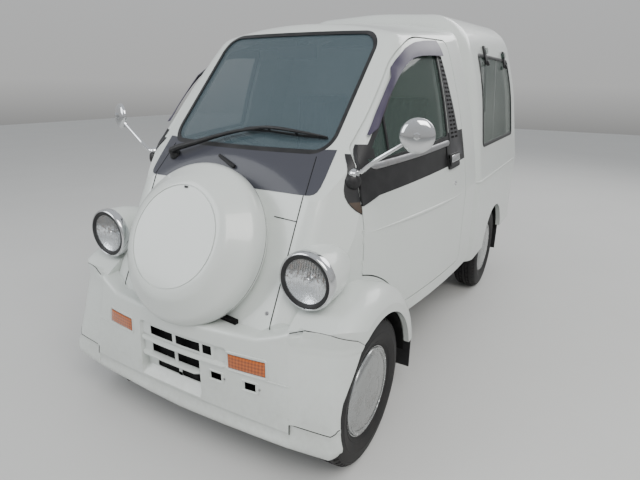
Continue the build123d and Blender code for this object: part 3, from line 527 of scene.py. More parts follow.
class Bench:
    """Modelling moves that the sub-assemblies share."""

    def __init__(self, book: FinishBook) -> None:
        """Keep the finishes at hand.

        Args:
            book: makes and hands out the finishes.
        """
        self.book = book

    def from_points(self, name: str, points: Sequence[Any], edges: Sequence[Any] = (),
                    faces: Sequence[Any] = ()) -> bpy.types.Object:
        """New mesh object, selected alone and active.

        Args:
            name: the piece's name.
            points: its vertices.
            edges: pairs of vertex numbers.
            faces: rings of vertex numbers.

        Returns:
            The object.
        """
        deselect()
        mesh = bpy.data.meshes.new(name)
        mesh.from_pydata([tuple(p) for p in points], list(edges), list(faces))
        piece = bpy.data.objects.new(name, mesh)
        bpy.context.scene.collection.objects.link(piece)
        bpy.context.view_layer.objects.active = piece
        piece.select_set(True)
        return piece

    def closed_up(self, piece: bpy.types.Object, merge: float = 1e-5) -> bpy.types.Object:
        """Merge doubles and turn the faces outwards."""
        deselect()
        bpy.context.view_layer.objects.active = piece
        piece.select_set(True)
        bpy.ops.object.mode_set(mode="EDIT")
        bpy.ops.mesh.select_all(action="SELECT")
        bpy.ops.mesh.remove_doubles(threshold=merge)
        bpy.ops.mesh.normals_make_consistent(inside=False)
        bpy.ops.object.mode_set(mode="OBJECT")
        return piece

    def spun(self, name: str, profile: Sequence[tuple[float, float]], centre: Any, axis: Any,
             steps: int = 64) -> bpy.types.Object:
        """Revolve a profile about an axis.

        Args:
            name: the piece's name.
            profile: pairs of distance along the axis and radius.
            centre: the axis's starting point.
            axis: the axis's direction.
            steps: how many facets go round.

        Returns:
            The turned piece.
        """
        line = Vector(axis).normalized()
        side = Vector((0, 0, 1)) - line * line.z
        side = side.normalized() if side.length > 0.1 else Vector((1, 0, 0))
        points = [Vector(centre) + line * along + side * radius for along, radius in profile]
        piece = self.from_points(name, points, [(i, i + 1) for i in range(len(points) - 1)])
        bpy.ops.object.mode_set(mode="EDIT")
        bpy.ops.mesh.select_all(action="SELECT")
        bpy.ops.mesh.spin(steps=steps, dupli=False, angle=2 * math.pi, center=tuple(centre), axis=tuple(line))
        bpy.ops.object.mode_set(mode="OBJECT")
        return self.closed_up(piece)

    def block(self, name: str, centre: Any, size: Any, edge: float = 0.002, cuts: int = 2,
              turn: Any = (0.0, 0.0, 0.0)) -> bpy.types.Object:
        """Box with rounded edges.

        Args:
            name: the piece's name.
            centre: its middle.
            size: its three sizes.
            edge: the radius of its edges.
            cuts: the facets of each rounded edge.
            turn: its rotation about X, Y and Z.

        Returns:
            The box.
        """
        deselect()
        bpy.ops.mesh.primitive_cube_add(size=1.0, location=tuple(centre), rotation=tuple(turn),
                                        scale=tuple(size))
        piece = bpy.context.object
        piece.name = name
        bpy.ops.object.transform_apply(location=True, rotation=True, scale=True)
        bpy.ops.object.mode_set(mode="EDIT")
        bpy.ops.mesh.select_all(action="SELECT")
        bpy.ops.mesh.bevel(offset=edge, segments=cuts, affect="EDGES")
        bpy.ops.object.mode_set(mode="OBJECT")
        return piece

    def tube(self, name: str, points: Sequence[Any], radius: float, ring: int = 3,
             shares: Sequence[float] | None = None, straight: bool = False) -> bpy.types.Object:
        """Round bar along a smooth line.

        Args:
            name: the piece's name.
            points: its line's points.
            radius: its radius.
            ring: facets in a quarter of the ring.
            shares: the radius's share at each point.
            straight: True for straight runs between the points.

        Returns:
            The bar as a mesh.
        """
        deselect()
        line = bpy.data.curves.new(name, "CURVE")
        line.dimensions = "3D"
        line.bevel_depth = radius
        line.bevel_resolution = ring
        line.use_fill_caps = True
        run = line.splines.new("POLY" if straight else "NURBS")
        run.points.add(len(points) - 1)
        for i, point in enumerate(points):
            run.points[i].co = (*point, 1.0)
            run.points[i].radius = shares[i] if shares else 1.0
        if not straight:
            run.order_u = 3
            run.use_endpoint_u = True
            run.resolution_u = 6
        piece = bpy.data.objects.new(name, line)
        bpy.context.scene.collection.objects.link(piece)
        bpy.context.view_layer.objects.active = piece
        piece.select_set(True)
        bpy.ops.object.convert(target="MESH")
        return self.closed_up(bpy.context.object)

    def walled(self, piece: bpy.types.Object, thickness: float) -> bpy.types.Object:
        """Give an open sheet a wall that grows inwards from its visible side."""
        deselect()
        bpy.context.view_layer.objects.active = piece
        piece.select_set(True)
        wall = piece.modifiers.new("wall", "SOLIDIFY")
        wall.thickness = thickness
        wall.offset = -1.0
        wall.use_even_offset = False
        bpy.ops.object.modifier_apply(modifier="wall")
        return self.closed_up(piece, 1e-6)

    def sheet(self, name: str, grid: Sequence[Sequence[Any]], thickness: float, finish: Finish, body: str,
              slot: str, stands_for: Sequence[str] = (), smooth: float = 35.0) -> bpy.types.Object:
        """Thin curved panel from a grid of points, mounted and dressed.

        Args:
            name: the panel's name.
            grid: its lines of points, each as long as the next.
            thickness: its wall.
            finish: its finish.
            body: the CAD body that carries it.
            slot: the record's material slot.
            stands_for: the CAD nodes that it replaces.
            smooth: faces that meet at less than this angle are smoothed.

        Returns:
            The panel.
        """
        size = len(grid[0])
        faces = [(i * size + j, (i + 1) * size + j, (i + 1) * size + j + 1, i * size + j + 1)
                 for i in range(len(grid) - 1) for j in range(size - 1)]
        points = [Vector(p) for line in grid for p in line]
        middle = sum(points, Vector()) / len(points)
        outward = Vector((middle.x, middle.y * 2.2, (middle.z - 0.7) * 0.3))
        a, b, c = (points[faces[len(faces) // 2][k]] for k in (0, 1, 2))
        if (b - a).cross(c - b).dot(outward) < 0:
            faces = [tuple(reversed(face)) for face in faces]
        piece = self.walled(self.from_points(name, points, faces=faces), thickness)
        return self.done(piece, finish, body, slot, smooth, stands_for)

    def strip(self, name: str, path: Sequence[Any], normals: Sequence[Any], half_width: float, rise: float,
              sink: float = 0.0012, closed: bool = False, fade: int = 0) -> bpy.types.Object:
        """Raised band that lies along a surface.

        Args:
            name: the piece's name.
            path: points on the surface.
            normals: the surface's normal at each point.
            half_width: half of the band's width.
            rise: how far it stands out.
            sink: how far it reaches into the surface.
            closed: True where the path is a ring.
            fade: how many steps at each end thin out.

        Returns:
            The band.
        """
        section = ((-1.0, -sink), (-1.0, rise * 0.55), (-0.7, rise), (0.7, rise), (1.0, rise * 0.55),
                   (1.0, -sink))
        count = len(path)
        points: list[Vector] = []
        for i, (at, normal) in enumerate(zip(path, normals)):
            before = path[(i - 1) % count] if closed or i > 0 else at
            after = path[(i + 1) % count] if closed or i < count - 1 else at
            across = Vector(normal).cross(Vector(after) - Vector(before)).normalized()
            ends = min(i, count - 1 - i)
            share = min(1.0, (ends + 0.15) / fade) if fade and not closed else 1.0
            for side, height in section:
                lift = height * share if height > 0 else height
                points.append(Vector(at) + across * side * half_width * share + Vector(normal) * lift)
        ring = len(section)
        faces = []
        for i in range(count if closed else count - 1):
            for j in range(ring):
                a, b = i * ring + j, i * ring + (j + 1) % ring
                c, d = ((i + 1) % count) * ring + (j + 1) % ring, ((i + 1) % count) * ring + j
                faces.append((a, b, c, d))
        if not closed:
            faces.append(tuple(range(ring)))
            faces.append(tuple(reversed(range((count - 1) * ring, count * ring))))
        return self.closed_up(self.from_points(name, points, faces=faces))

    def joined(self, pieces: Sequence[bpy.types.Object], name: str) -> bpy.types.Object:
        """Join pieces of one finish into one."""
        deselect()
        for piece in pieces:
            piece.select_set(True)
        bpy.context.view_layer.objects.active = pieces[0]
        if len(pieces) > 1:
            bpy.ops.object.join()
        pieces[0].name = name
        return pieces[0]

    def mirrored(self, piece: bpy.types.Object, name: str) -> bpy.types.Object:
        """Copy of a piece on the other side of the vehicle."""
        deselect()
        twin = piece.copy()
        twin.data = piece.data.copy()
        twin.name = name
        bpy.context.scene.collection.objects.link(twin)
        bpy.context.view_layer.objects.active = twin
        twin.select_set(True)
        bpy.ops.object.mode_set(mode="EDIT")
        bpy.ops.mesh.select_all(action="SELECT")
        bpy.ops.transform.resize(value=(1.0, -1.0, 1.0), center_override=(0.0, 0.0, 0.0))
        bpy.ops.mesh.normals_make_consistent(inside=False)
        bpy.ops.object.mode_set(mode="OBJECT")
        return twin

    def done(self, piece: bpy.types.Object, finish: Finish, body: str, slot: str, smooth: float = 35.0,
             stands_for: Sequence[str] = ()) -> bpy.types.Object:
        """Smooth, dress and mount a finished piece.

        Args:
            piece: the piece.
            finish: its finish.
            body: the CAD body that carries it.
            slot: not used.
            smooth: faces that meet at less than this angle are smoothed.
            stands_for: the CAD nodes that it replaces.

        Returns:
            The piece.
        """
        deselect()
        piece.select_set(True)
        bpy.context.view_layer.objects.active = piece
        bpy.ops.object.shade_smooth_by_angle(angle=math.radians(smooth))
        piece.data.materials.clear()
        piece.data.materials.append(self.book.get(finish))
        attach(piece, body)
        if stands_for:
            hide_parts(*stands_for)
        LOG.info("piece %s: %d faces on %s", piece.name, len(piece.data.polygons), body)
        return piece


class Skin:
    """Outer surface of some CAD nodes, to lay pieces on."""

    def __init__(self, *nodes: str) -> None:
        """Gather the nodes' faces.

        Args:
            nodes: the CAD nodes.
        """
        points: list[Vector] = []
        faces: list[tuple[int, ...]] = []
        for node in nodes:
            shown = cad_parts[node]
            start = len(points)
            points.extend(shown.matrix_world @ v.co for v in shown.data.vertices)
            faces.extend(tuple(start + i for i in face.vertices) for face in shown.data.polygons)
        self.tree = BVHTree.FromPolygons(points, faces)

    def hit(self, start: Point, way: Point) -> tuple[Vector, Vector] | None:
        """First point and normal met from a start along a way."""
        at, normal, _, _ = self.tree.ray_cast(Vector(start), Vector(way).normalized())
        if at is None:
            return None
        return at, (normal if normal.dot(Vector(way)) < 0 else -normal)

    def side(self, x: float, z: float, side: Side = Side.LEFT) -> tuple[Vector, Vector] | None:
        """Point and normal seen from one side."""
        return self.hit((x, 1.4 * side.value, z), (0, -side.value, 0))

    def front(self, y: float, z: float) -> tuple[Vector, Vector] | None:
        """Point and normal seen from the front."""
        return self.hit((2.5, y, z), (-1, 0, 0))

    def rear(self, y: float, z: float) -> tuple[Vector, Vector] | None:
        """Point and normal seen from behind."""
        return self.hit((-2.5, y, z), (1, 0, 0))

    def laid(self, seen: Iterable[tuple[Vector, Vector] | None]) -> tuple[list[Vector], list[Vector]]:
        """Points and normals of the rays that met the surface."""
        found = [pair for pair in seen if pair]
        return [at for at, _ in found], [normal for _, normal in found]


def spread(corners: Sequence[tuple[float, float]], step: float, closed: bool = False) -> list[tuple[float,
                                                                                                    float]]:
    """Points at even steps along straight runs between corners.

    Args:
        corners: the corners in a flat view.
        step: about how far apart the points lie.
        closed: True to run back to the first corner.

    Returns:
        The points.
    """
    runs = list(zip(corners, corners[1:]))
    if closed:
        runs.append((corners[-1], corners[0]))
    points: list[tuple[float, float]] = []
    for (a, b), (c, d) in runs:
        count = max(1, round(math.hypot(c - a, d - b) / step))
        points.extend((a + (c - a) * i / count, b + (d - b) * i / count) for i in range(count))
    if not closed:
        points.append(tuple(corners[-1]))
    return points


def eased(corners: Sequence[tuple[float, float, float]], turns: int = 6) -> list[tuple[float, float]]:
    """Ring whose corners are rounded.

    Args:
        corners: each corner's two coordinates and its radius.
        turns: the points of each rounded corner.

    Returns:
        The ring's points.
    """
    ring: list[tuple[float, float]] = []
    count = len(corners)
    for i, (x, y, radius) in enumerate(corners):
        here = Vector((x, y))
        back = Vector(corners[i - 1][:2]) - here
        ahead = Vector(corners[(i + 1) % count][:2]) - here
        if radius <= 0:
            ring.append((x, y))
            continue
        half = back.angle(ahead) / 2
        reach = min(radius / math.tan(half), back.length * 0.48, ahead.length * 0.48)
        start, end = here + back.normalized() * reach, here + ahead.normalized() * reach
        for k in range(turns + 1):
            t = k / turns
            ring.append(tuple(start * (1 - t) ** 2 + here * 2 * t * (1 - t) + end * t ** 2))
    return ring


def between(table: Sequence[tuple[float, float]], where: float) -> float:
    """Value between the entries of a table of places and values."""
    if where <= table[0][0]:
        return table[0][1]
    for (a, low), (b, high) in zip(table, table[1:]):
        if where <= b:
            return low + (high - low) * (where - a) / (b - a)
    return table[-1][1]


def rounded_box(y: float, z: float, box: tuple[float, float, float, float], radius: float) -> float:
    """Distance inside a box with rounded corners, below zero outside it."""
    y0, y1, z0, z1 = box
    over_y = max(y0 + radius - y, y - (y1 - radius))
    over_z = max(z0 + radius - z, z - (z1 - radius))
    if over_y > 0 and over_z > 0:
        return radius - math.hypot(over_y, over_z)
    return radius - max(over_y, over_z)


def soft(inside: float, width: float) -> float:
    """Share from 0 to 1 over a width from an edge inwards."""
    share = min(1.0, max(0.0, inside / width))
    return share * share * (3 - 2 * share)


@dataclass
class Headlamps:
    """Round headlamps: chrome rim, rubber ring, reflector and fluted glass."""

    bench: Bench
    at: Point = (1.213, 0.459, 0.722)
    rim_r: float = 0.097
    glass_r: float = 0.078
    rise: float = 0.0135
    flutes: int = 17

    def rim(self) -> bpy.types.Object:
        """Chrome rim with a rolled front edge."""
        r = self.rim_r
        profile = [(-0.0215, r - 0.012), (-0.0215, r - 0.003), (-0.0195, r - 0.0005), (-0.014, r),
                   (-0.004, r),
                   (0.003, r - 0.0012), (0.0075, r - 0.0035), (0.0100, r - 0.0065), (0.0105, r - 0.0088),
                   (0.0090, r - 0.0105), (0.0050, r - 0.0115), (-0.006, r - 0.0118)]
        return self.bench.spun("headlamp_rim_left", profile, self.at, (1, 0, 0), 96)

    def gasket(self) -> bpy.types.Object:
        """Black ring between rim and glass."""
        g = self.glass_r
        profile = [(0.0080, g + 0.0092), (0.0112, g + 0.0080), (0.0108, g + 0.0050), (0.0086, g + 0.0020),
                   (0.0070, g - 0.0022), (0.0052, g - 0.0042), (0.0020, g - 0.0046), (0.0010, g - 0.002)]
        return self.bench.spun("headlamp_gasket_left", profile, self.at, (1, 0, 0), 72)

    def reflector(self) -> bpy.types.Object:
        """Shallow bowl with a bulb shield in its middle."""
        deep, r = 0.021, self.glass_r - 0.003
        bowl = [(0.0015 - deep * (1 - (k / 12) ** 2), max(r * k / 12, 0.012)) for k in range(12, -1, -1)]
        shield = [(-0.012, 0.012), (-0.004, 0.0125), (-0.001, 0.0105), (0.0005, 0.006), (0.0008, 0.0)]
        return self.bench.spun("headlamp_bowl_left", bowl + shield, self.at, (1, 0, 0), 72)

    def glass(self) -> bpy.types.Object:
        """Domed glass with upright flutes on its inner side."""
        r = self.glass_r - 0.002
        dome = [(0.004 + self.rise * (1 - (k / 16) ** 2), r * k / 16) for k in range(16, -1, -1)]
        return self.bench.spun("headlamp_glass_left", dome, self.at, (1, 0, 0), 96)

    def screw(self) -> bpy.types.Object:
        """Small screw at the foot of the rim."""
        x, y, z = self.at
        profile = [(0.0, 0.0042), (0.0022, 0.004), (0.0030, 0.0028), (0.0026, 0.0012), (0.0026, 0.0)]
        return self.bench.spun("headlamp_screw_left", profile, (x + 0.0095, y, z - self.rim_r + 0.008),
                               (1, 0, -0.4), 20)

    def build(self) -> None:
        """Make both lamps."""
        made = [(self.rim(), Finish.CHROME, "chrome"), (self.gasket(), Finish.BLACK, "black_trim"),
                (self.reflector(), Finish.REFLECTOR, "chrome"), (self.glass(), Finish.LAMP_GLASS, "glass"),
                (self.screw(), Finish.CHROME, "chrome")]
        for piece, finish, slot in made:
            twin = self.bench.mirrored(piece, piece.name.replace("left", "right"))
            nodes = ("headlamps",) if finish is Finish.CHROME and "rim" in piece.name else ()
            for item in (piece, twin):
                self.bench.done(item, finish, "body", slot, 30, nodes)


@dataclass
class RoadWheel:
    """Tyre with tread and ribbed walls, and a domed hubcap, on one hub."""

    bench: Bench
    end: str
    side: Side
    at_x: float
    track: float = 0.545
    hub_z: float = 0.268
    tyre_r: float = 0.268
    sectors: int = 120
    groove: float = 0.0065

    @property
    def word(self) -> str:
        """The wheel's place as the CAD names it."""
        return f"{self.end}_{'left' if self.side is Side.LEFT else 'right'}"

    def tread(self) -> list[tuple[float, float]]:
        """Right half of the tread from the middle to the shoulder, with its grooves."""
        r, g = self.tyre_r, self.groove
        return [(0.0, r), (0.0085, r - 0.0001), (0.0090, r - g), (0.0125, r - g), (0.0130, r - 0.0002),
                (0.0270, r - 0.0007), (0.0275, r - g), (0.0315, r - g), (0.0320, r - 0.0010),
                (0.0400, r - 0.0017), (0.0480, r - 0.0030), (0.0545, r - 0.0058), (0.0590, r - 0.0100)]

    def wall(self) -> list[tuple[float, float]]:
        """Side wall from the shoulder to the bead, with its ribs."""
        return [(0.0622, 0.2530), (0.0632, 0.2526), (0.0648, 0.2480), (0.0660, 0.2470), (0.0668, 0.2440),
                (0.0660, 0.2430), (0.0690, 0.2330), (0.0708, 0.2220), (0.0716, 0.2130), (0.0723, 0.2122),
                (0.0723, 0.2098), (0.0716, 0.2090), (0.0700, 0.1990), (0.0668, 0.1880), (0.0640, 0.1800),
                (0.0648, 0.1786), (0.0640, 0.1768), (0.0622, 0.1750), (0.0600, 0.1700), (0.0575, 0.1665),
                (0.0550, 0.1620), (0.0520, 0.1560), (0.0505, 0.1530)]

    def tyre(self) -> bpy.types.Object:
        """Turned tyre whose outer ribs are cut into blocks."""
        half = self.tread() + self.wall()
        profile = [(-a, r) for a, r in reversed(half)] + half[1:]
        centre = (self.at_x, self.side.value * self.track, self.hub_z)
        piece = self.bench.spun(f"tread_tyre_{self.word}", profile, centre, (0, 1, 0), self.sectors)
        bpy.ops.object.mode_set(mode="EDIT")
        mesh = bmesh.from_edit_mesh(piece.data)
        for face in mesh.faces:
            mid = face.calc_center_median() - Vector(centre)
            turn = math.atan2(mid.z, mid.x) / (2 * math.pi) * self.sectors
            sector = math.floor(turn)
            place = abs(mid.y)
            shoulder = 0.0475 < place < 0.0615 and math.hypot(mid.x, mid.z) > 0.255
            middle = 0.0130 < place < 0.0270 and math.hypot(mid.x, mid.z) > 0.2665
            face.select = (shoulder and sector % 2 == 0) or (middle and sector % 3 == 0)
        bmesh.update_edit_mesh(piece.data)
        bpy.ops.mesh.inset(thickness=0.0016, depth=-0.0045, use_individual=False, use_even_offset=True)
        bpy.ops.object.mode_set(mode="OBJECT")
        return piece

    def hubcap(self) -> bpy.types.Object:
        """Domed hubcap with a rolled edge and a raised middle."""
        centre = (self.at_x, self.side.value * self.track, self.hub_z)
        axis = (0, self.side.value, 0)
        profile = [(0.0530, 0.1560), (0.0590, 0.1580), (0.0618, 0.1560), (0.0626, 0.1525), (0.0610, 0.1490),
                   (0.0585, 0.1455), (0.0580, 0.1430), (0.0600, 0.1395), (0.0640, 0.1330), (0.0676, 0.1220),
                   (0.0704, 0.1060), (0.0726, 0.0880), (0.0740, 0.0700), (0.0746, 0.0600), (0.0738, 0.0575),
                   (0.0730, 0.0550), (0.0738, 0.0525), (0.0748, 0.0450), (0.0754, 0.0300), (0.0757, 0.0150),
                   (0.0758, 0.0)]
        piece = self.bench.spun(f"hubcap_{self.word}", profile, centre, axis, 96)
        bpy.ops.object.mode_set(mode="EDIT")
        mesh = bmesh.from_edit_mesh(piece.data)
        for face in mesh.faces:
            mid = face.calc_center_median() - Vector(centre)
            turn = math.floor(math.atan2(mid.z, mid.x) / (2 * math.pi) * 96)
            reach = math.hypot(mid.x, mid.z)
            face.select = 0.1490 < reach < 0.1525 and turn % 2 == 0
        bmesh.update_edit_mesh(piece.data)
        bpy.ops.mesh.inset(thickness=0.0008, depth=0.0010, use_individual=True)
        bpy.ops.object.mode_set(mode="OBJECT")
        return piece

    def build(self) -> None:
        """Make the wheel's pieces."""
        body = f"wheel_{self.word}"
        self.bench.done(self.tyre(), Finish.TYRE, body, "tyre", 24, (f"tyre_{self.word}",))
        self.bench.done(self.hubcap(), Finish.HUB, body, "wheel_metal", 28)


@dataclass
class FrontBumper:
    """Front bumper: skin with grille, lamp pockets and side cheeks, and its lamps, shelves and seams."""

    bench: Bench
    front_x: float = 1.340
    half: float = 0.645
    low_plan: tuple[float, float] = (7.0, 0.045)
    high_plan: tuple[float, float] = (1.75, 0.120)
    lip_z: float = 0.240
    top_z: float = 0.530
    roll: float = 0.018
    lamp_y: float = 0.302
    lamp_z: float = 0.4315
    lamp_half: tuple[float, float] = (0.070, 0.0255)
    crease_y: float = 0.460
    bays: tuple[tuple[float, float, float, float], ...] = (
        (-0.134, -0.019, 0.424, 0.458), (-0.004, 0.108, 0.424, 0.458), (0.120, 0.158, 0.424, 0.458),
        (-0.134, -0.019, 0.349, 0.388), (-0.004, 0.104, 0.349, 0.388),
        (-0.126, -0.019, 0.284, 0.318), (-0.004, 0.104, 0.284, 0.318),
        (0.158, 0.201, 0.346, 0.372), (0.293, 0.334, 0.346, 0.372))
    arch: tuple[tuple[float, float], ...] = ((0.160, 1.290), (0.218, 1.291), (0.252, 1.289), (0.292, 1.284),
                                             (0.328, 1.276), (0.369, 1.262), (0.414, 1.236), (0.458, 1.208),
                                             (0.496, 1.184), (0.532, 1.161), (0.600, 1.120))
    foot: tuple[tuple[float, float], ...] = ((0.0, 0.168), (0.272, 0.176), (0.453, 0.180), (0.544, 0.195),
                                             (0.624, 0.210), (0.645, 0.218))
    crown: tuple[tuple[float, float], ...] = ((0.58, 0.533), (0.70, 0.553), (0.78, 0.572), (0.87, 0.592),
                                              (0.94, 0.585), (1.11, 0.576),
                                              (1.56, 0.555), (1.85, 0.530), (2.60, 0.520))

    def plan(self, shape: tuple[float, float], s: float) -> tuple[float, float, float]:
        """Point of one plan and the direction that it faces.

        Args:
            shape: the bow's and the corner's radius.
            s: 0 in the middle, 1 and 2 at the ends of the corner's round, then along the side.

        Returns:
            X, Y and the facing angle.
        """
        bow, corner = shape
        mid_x, mid_y = self.front_x - bow, self.half - corner
        corner_x = mid_x + math.sqrt((bow - corner) ** 2 - mid_y ** 2)
        turn = math.atan2(mid_y, corner_x - mid_x)
        if s <= 1:
            return mid_x + bow * math.cos(turn * s), bow * math.sin(turn * s), turn * s
        if s <= 2:
            angle = turn + (math.pi / 2 - turn) * (s - 1)
            return corner_x + corner * math.cos(angle), mid_y + corner * math.sin(angle), angle
        return corner_x - (s - 2) * 0.4, self.half, math.pi / 2

    def at(self, s: float, z: float, out: float = 0.0) -> Vector:
        """Point of the bumper's surface, or a distance outside it."""
        share = min(1.0, max(0.0, (z - self.lip_z) / (self.top_z - self.lip_z)))
        low, high = self.plan(self.low_plan, abs(s)), self.plan(self.high_plan, abs(s))
        x, y, angle = (a + (b - a) * share for a, b in zip(low, high))
        side = 1.0 if s >= 0 else -1.0
        return Vector((x + out * math.cos(angle), side * (y + out * math.sin(angle)), z))

    def param(self, y: float) -> float:
        """Place along the plan of a distance from the middle, at half height."""
        low, high = 0.0, 1.0
        for _ in range(30):
            mid = (low + high) / 2
            if self.at(mid, 0.40).y < abs(y):
                low = mid
            else:
                high = mid
        return math.copysign(low, y)

    def edge(self, z: float) -> float:
        """Place along the plan of the wheel arch's edge at a height."""
        wanted = between(self.arch, z)
        low, high = 0.9, 2.9
        for _ in range(30):
            mid = (low + high) / 2
            if self.at(mid, z).x > wanted:
                low = mid
            else:
                high = mid
        return low

    def recess(self, y: float, z: float) -> float:
        """How far the surface lies back at a place of the front."""
        field = rounded_box(y, z, (-0.184, 0.230, 0.398, 0.474), 0.020)
        low = rounded_box(y, z, (-0.184, 0.110, 0.250, 0.420), 0.016)
        blank = rounded_box(y, z, (0.168, 0.220, 0.398, 0.462), 0.014)
        depth = between(((0.248, 0.0), (0.280, 0.028), (0.316, 0.028), (0.342, 0.014)), z)
        deep = max(0.009 * soft(field, 0.006), depth * soft(low, 0.006) if z > 0.3 else depth
                   * soft(low + 0.02, 0.006)
                   * soft(min(y + 0.184, 0.110 - y), 0.006))
        deep += 0.005 * soft(blank, 0.005)
        groove = 0.0035 * math.exp(-((abs(y) - self.crease_y) / 0.0055) ** 2)
        return deep + groove + 0.0030 * min(1.0, max(0.0, (abs(y) - self.crease_y) / 0.010))

    def lip(self, y: float) -> float:
        """Height of the seam above the bottom flange."""
        return 0.240 if abs(y) < 0.450 else between(((0.450, 0.268), (0.540, 0.271), (0.603, 0.281),
                                                     (0.645, 0.292)), abs(y))

    def columns(self) -> list[float]:
        """Places along the plan from the middle to the crease, both sides."""
        marks = {0.0}
        for y0, y1, _, _ in self.bays:
            marks.update((y0, y1))
        for side in (-1, 1):
            marks.update((side * (self.lamp_y - self.lamp_half[0]), side * (self.lamp_y + self.lamp_half[0]),
                          side * 0.4485, side * 0.450, side * 0.456))
        for edge in (-0.184, 0.110, 0.230, 0.168, 0.220):
            marks.update((edge, edge + 0.003, edge - 0.003, edge + 0.006, edge - 0.006))
        ordered = sorted(marks)
        places: list[float] = []
        for a, b in zip(ordered, ordered[1:]):
            step = 0.008 if -0.20 < a < 0.24 else 0.016
            count = max(1, math.ceil((b - a) / step))
            places.extend(a + (b - a) * i / count for i in range(count))
        return [*places, ordered[-1]]

    def rows(self) -> list[float]:
        """Heights from the lower front up to the rolled edge."""
        marks = {0.300, 0.316, 0.342, self.top_z - self.roll, self.lamp_z - self.lamp_half[1], self.lamp_z
                 + self.lamp_half[1]}
        for _, _, z0, z1 in self.bays:
            marks.update((z0, z1))
        for edge in (0.398, 0.474, 0.420, 0.462):
            marks.update((edge, edge + 0.003, edge - 0.003, edge + 0.006, edge - 0.006))
        ordered = sorted(marks)
        heights: list[float] = []
        for a, b in zip(ordered, ordered[1:]):
            count = max(1, math.ceil((b - a) / 0.009))
            heights.extend(a + (b - a) * i / count for i in range(count))
        return [*heights, ordered[-1]]

    def column(self, s: float, y: float, heights: Sequence[float],
               stretch: float | None = None) -> list[Vector]:
        """One upright line of the skin from the bottom flange to the top.

        Args:
            s: its place along the plan.
            y: its distance from the middle.
            heights: the heights of the front's rows.
            stretch: on a cheek, its share of the way from the crease to the arch's edge.

        Returns:
            The line's points.
        """
        sign = 1.0 if s >= 0 else -1.0

        def place(z: float, out: float) -> Vector:
            """Point at a height, with the cheek drawn to the arch's edge."""
            if stretch is None:
                return self.at(s, z, out)
            first = abs(s)
            return self.at(sign * (first + (self.edge(z) - first) * stretch), z, out)

        lip, foot = self.lip(y), between(self.foot, abs(y))
        line = []
        for t, out in ((1.0, -0.004), (0.97, 0.0), (0.88, 0.0025), (0.74, 0.0025), (0.62, -0.001),
                       (0.45, -0.0042),
                       (0.25, -0.0048), (0.06, -0.0050), (0.02, -0.0035)):
            line.append(place(lip - (lip - foot) * t, out))
        for k in range(8):
            z = min(lip + 0.001 + (0.2955 - lip) * k / 7, 0.2955 - 0.0004 * (7 - k)) if lip > 0.250 else \
                (0.241, 0.2475, 0.256, 0.265, 0.2735, 0.2805, 0.284, 0.292)[k]
            line.append(place(z, -self.recess(y, z)))
        line.extend(place(z, -self.recess(y, z)) for z in heights)
        weight = min(1.0, max(0.0, (abs(s) - 0.78) / 0.07)) if stretch is None else 1.0
        base, bend = self.top_z - self.roll, self.roll - 0.003
        crown = self.crown_z(s, stretch)
        top = max(base + 0.003, crown - bend)
        deep = self.recess(y, base)
        for k in range(1, 11):
            share = min(1.0, k / 3)
            angle = math.radians(22.5 * min(4, max(0, k - 3)))
            back = bend * (1 - math.cos(angle)) + 0.018 * max(0, k - 7)
            front = self.at(s, base + (top - base) * share, -back - deep)
            front.z += bend * math.sin(angle)
            high = place(base + (crown - base) * k / 10, 0.0016 - deep * (1 - k / 10))
            line.append(front * (1 - weight) + high * weight)
        return line

    def crown_z(self, s: float, stretch: float | None) -> float:
        """Height of the seam between cheek and fender."""
        reach = abs(s) if stretch is None else abs(s) + (1.85 - abs(s)) * stretch
        return between(self.crown, reach)

    def skin(self) -> None:
        """Skin of the whole bumper, its dark lining and a dark sheet behind the grille that paints the shade
        inside its openings.
        """
        heights = self.rows()
        ys = self.columns()
        lines = [self.column(self.param(y), y, heights) for y in ys]
        marks = list(ys)
        cheek = 16
        for side in (1, -1):
            start = self.param(side * 0.456)
            extra, extra_ys = [], []
            for k in range(1, cheek + 1):
                share = k / cheek
                y = side * (0.456 + (self.half - 0.456) * min(1.0, share * 1.15))
                extra.append(self.column(start, y, heights, share))
                extra_ys.append(y)
            if side > 0:
                lines, marks = lines + extra, marks + extra_ys
            else:
                lines, marks = extra[::-1] + lines, extra_ys[::-1] + marks
        size = len(lines[0])
        holes = [*self.bays]
        for side in (-1, 1):
            holes.append((side * self.lamp_y - self.lamp_half[0], side * self.lamp_y + self.lamp_half[0],
                          self.lamp_z - self.lamp_half[1], self.lamp_z + self.lamp_half[1]))
        faces = []
        for i in range(len(lines) - 1):
            mid_y = (marks[i] + marks[i + 1]) / 2
            for j in range(size - 1):
                mid_z = (lines[i][j].z + lines[i][j + 1].z) / 2
                if any(a < mid_y < b and c < mid_z < d for a, b, c, d in holes):
                    continue
                faces.append((i * size + j, (i + 1) * size + j, (i + 1) * size + j + 1, i * size + j + 1))
        piece = self.bench.from_points("bumper_skin", [p for line in lines for p in line], faces=faces)
        self.bench.done(self.bench.walled(piece, 0.002), Finish.WHITE, "body", "white_paint", 32,
                        ("front_bumper",))
        for side in (1, -1):
            grid = []
            for share in (0.0, 0.15, 0.3, 0.45, 0.6, 0.75, 0.9, 0.985):
                start = abs(self.param(0.456))
                grid.append([self.at(side * (start + (self.edge(z) - start) * share), z, -0.0085)
                             for z in (0.225, 0.27, 0.32, 0.37, 0.42, 0.47, 0.52)])
            self.bench.sheet(f"cheek_lining_{'left' if side > 0 else 'right'}", grid, 0.0015, Finish.SEAM,
                             "body",
                             "black_trim")
        # Painted shade: a dark sheet behind the grille openings stands in for the shade inside them.
        grid = [[self.at(self.param(y), z, -0.036) for z in (0.200, 0.30, 0.40, 0.49)]
                for y in (-0.36, -0.27, -0.18, -0.09, 0.0, 0.09, 0.18, 0.27, 0.36)]
        self.bench.sheet("grille_dark", grid, 0.002, Finish.SEAM, "body", "black_trim")

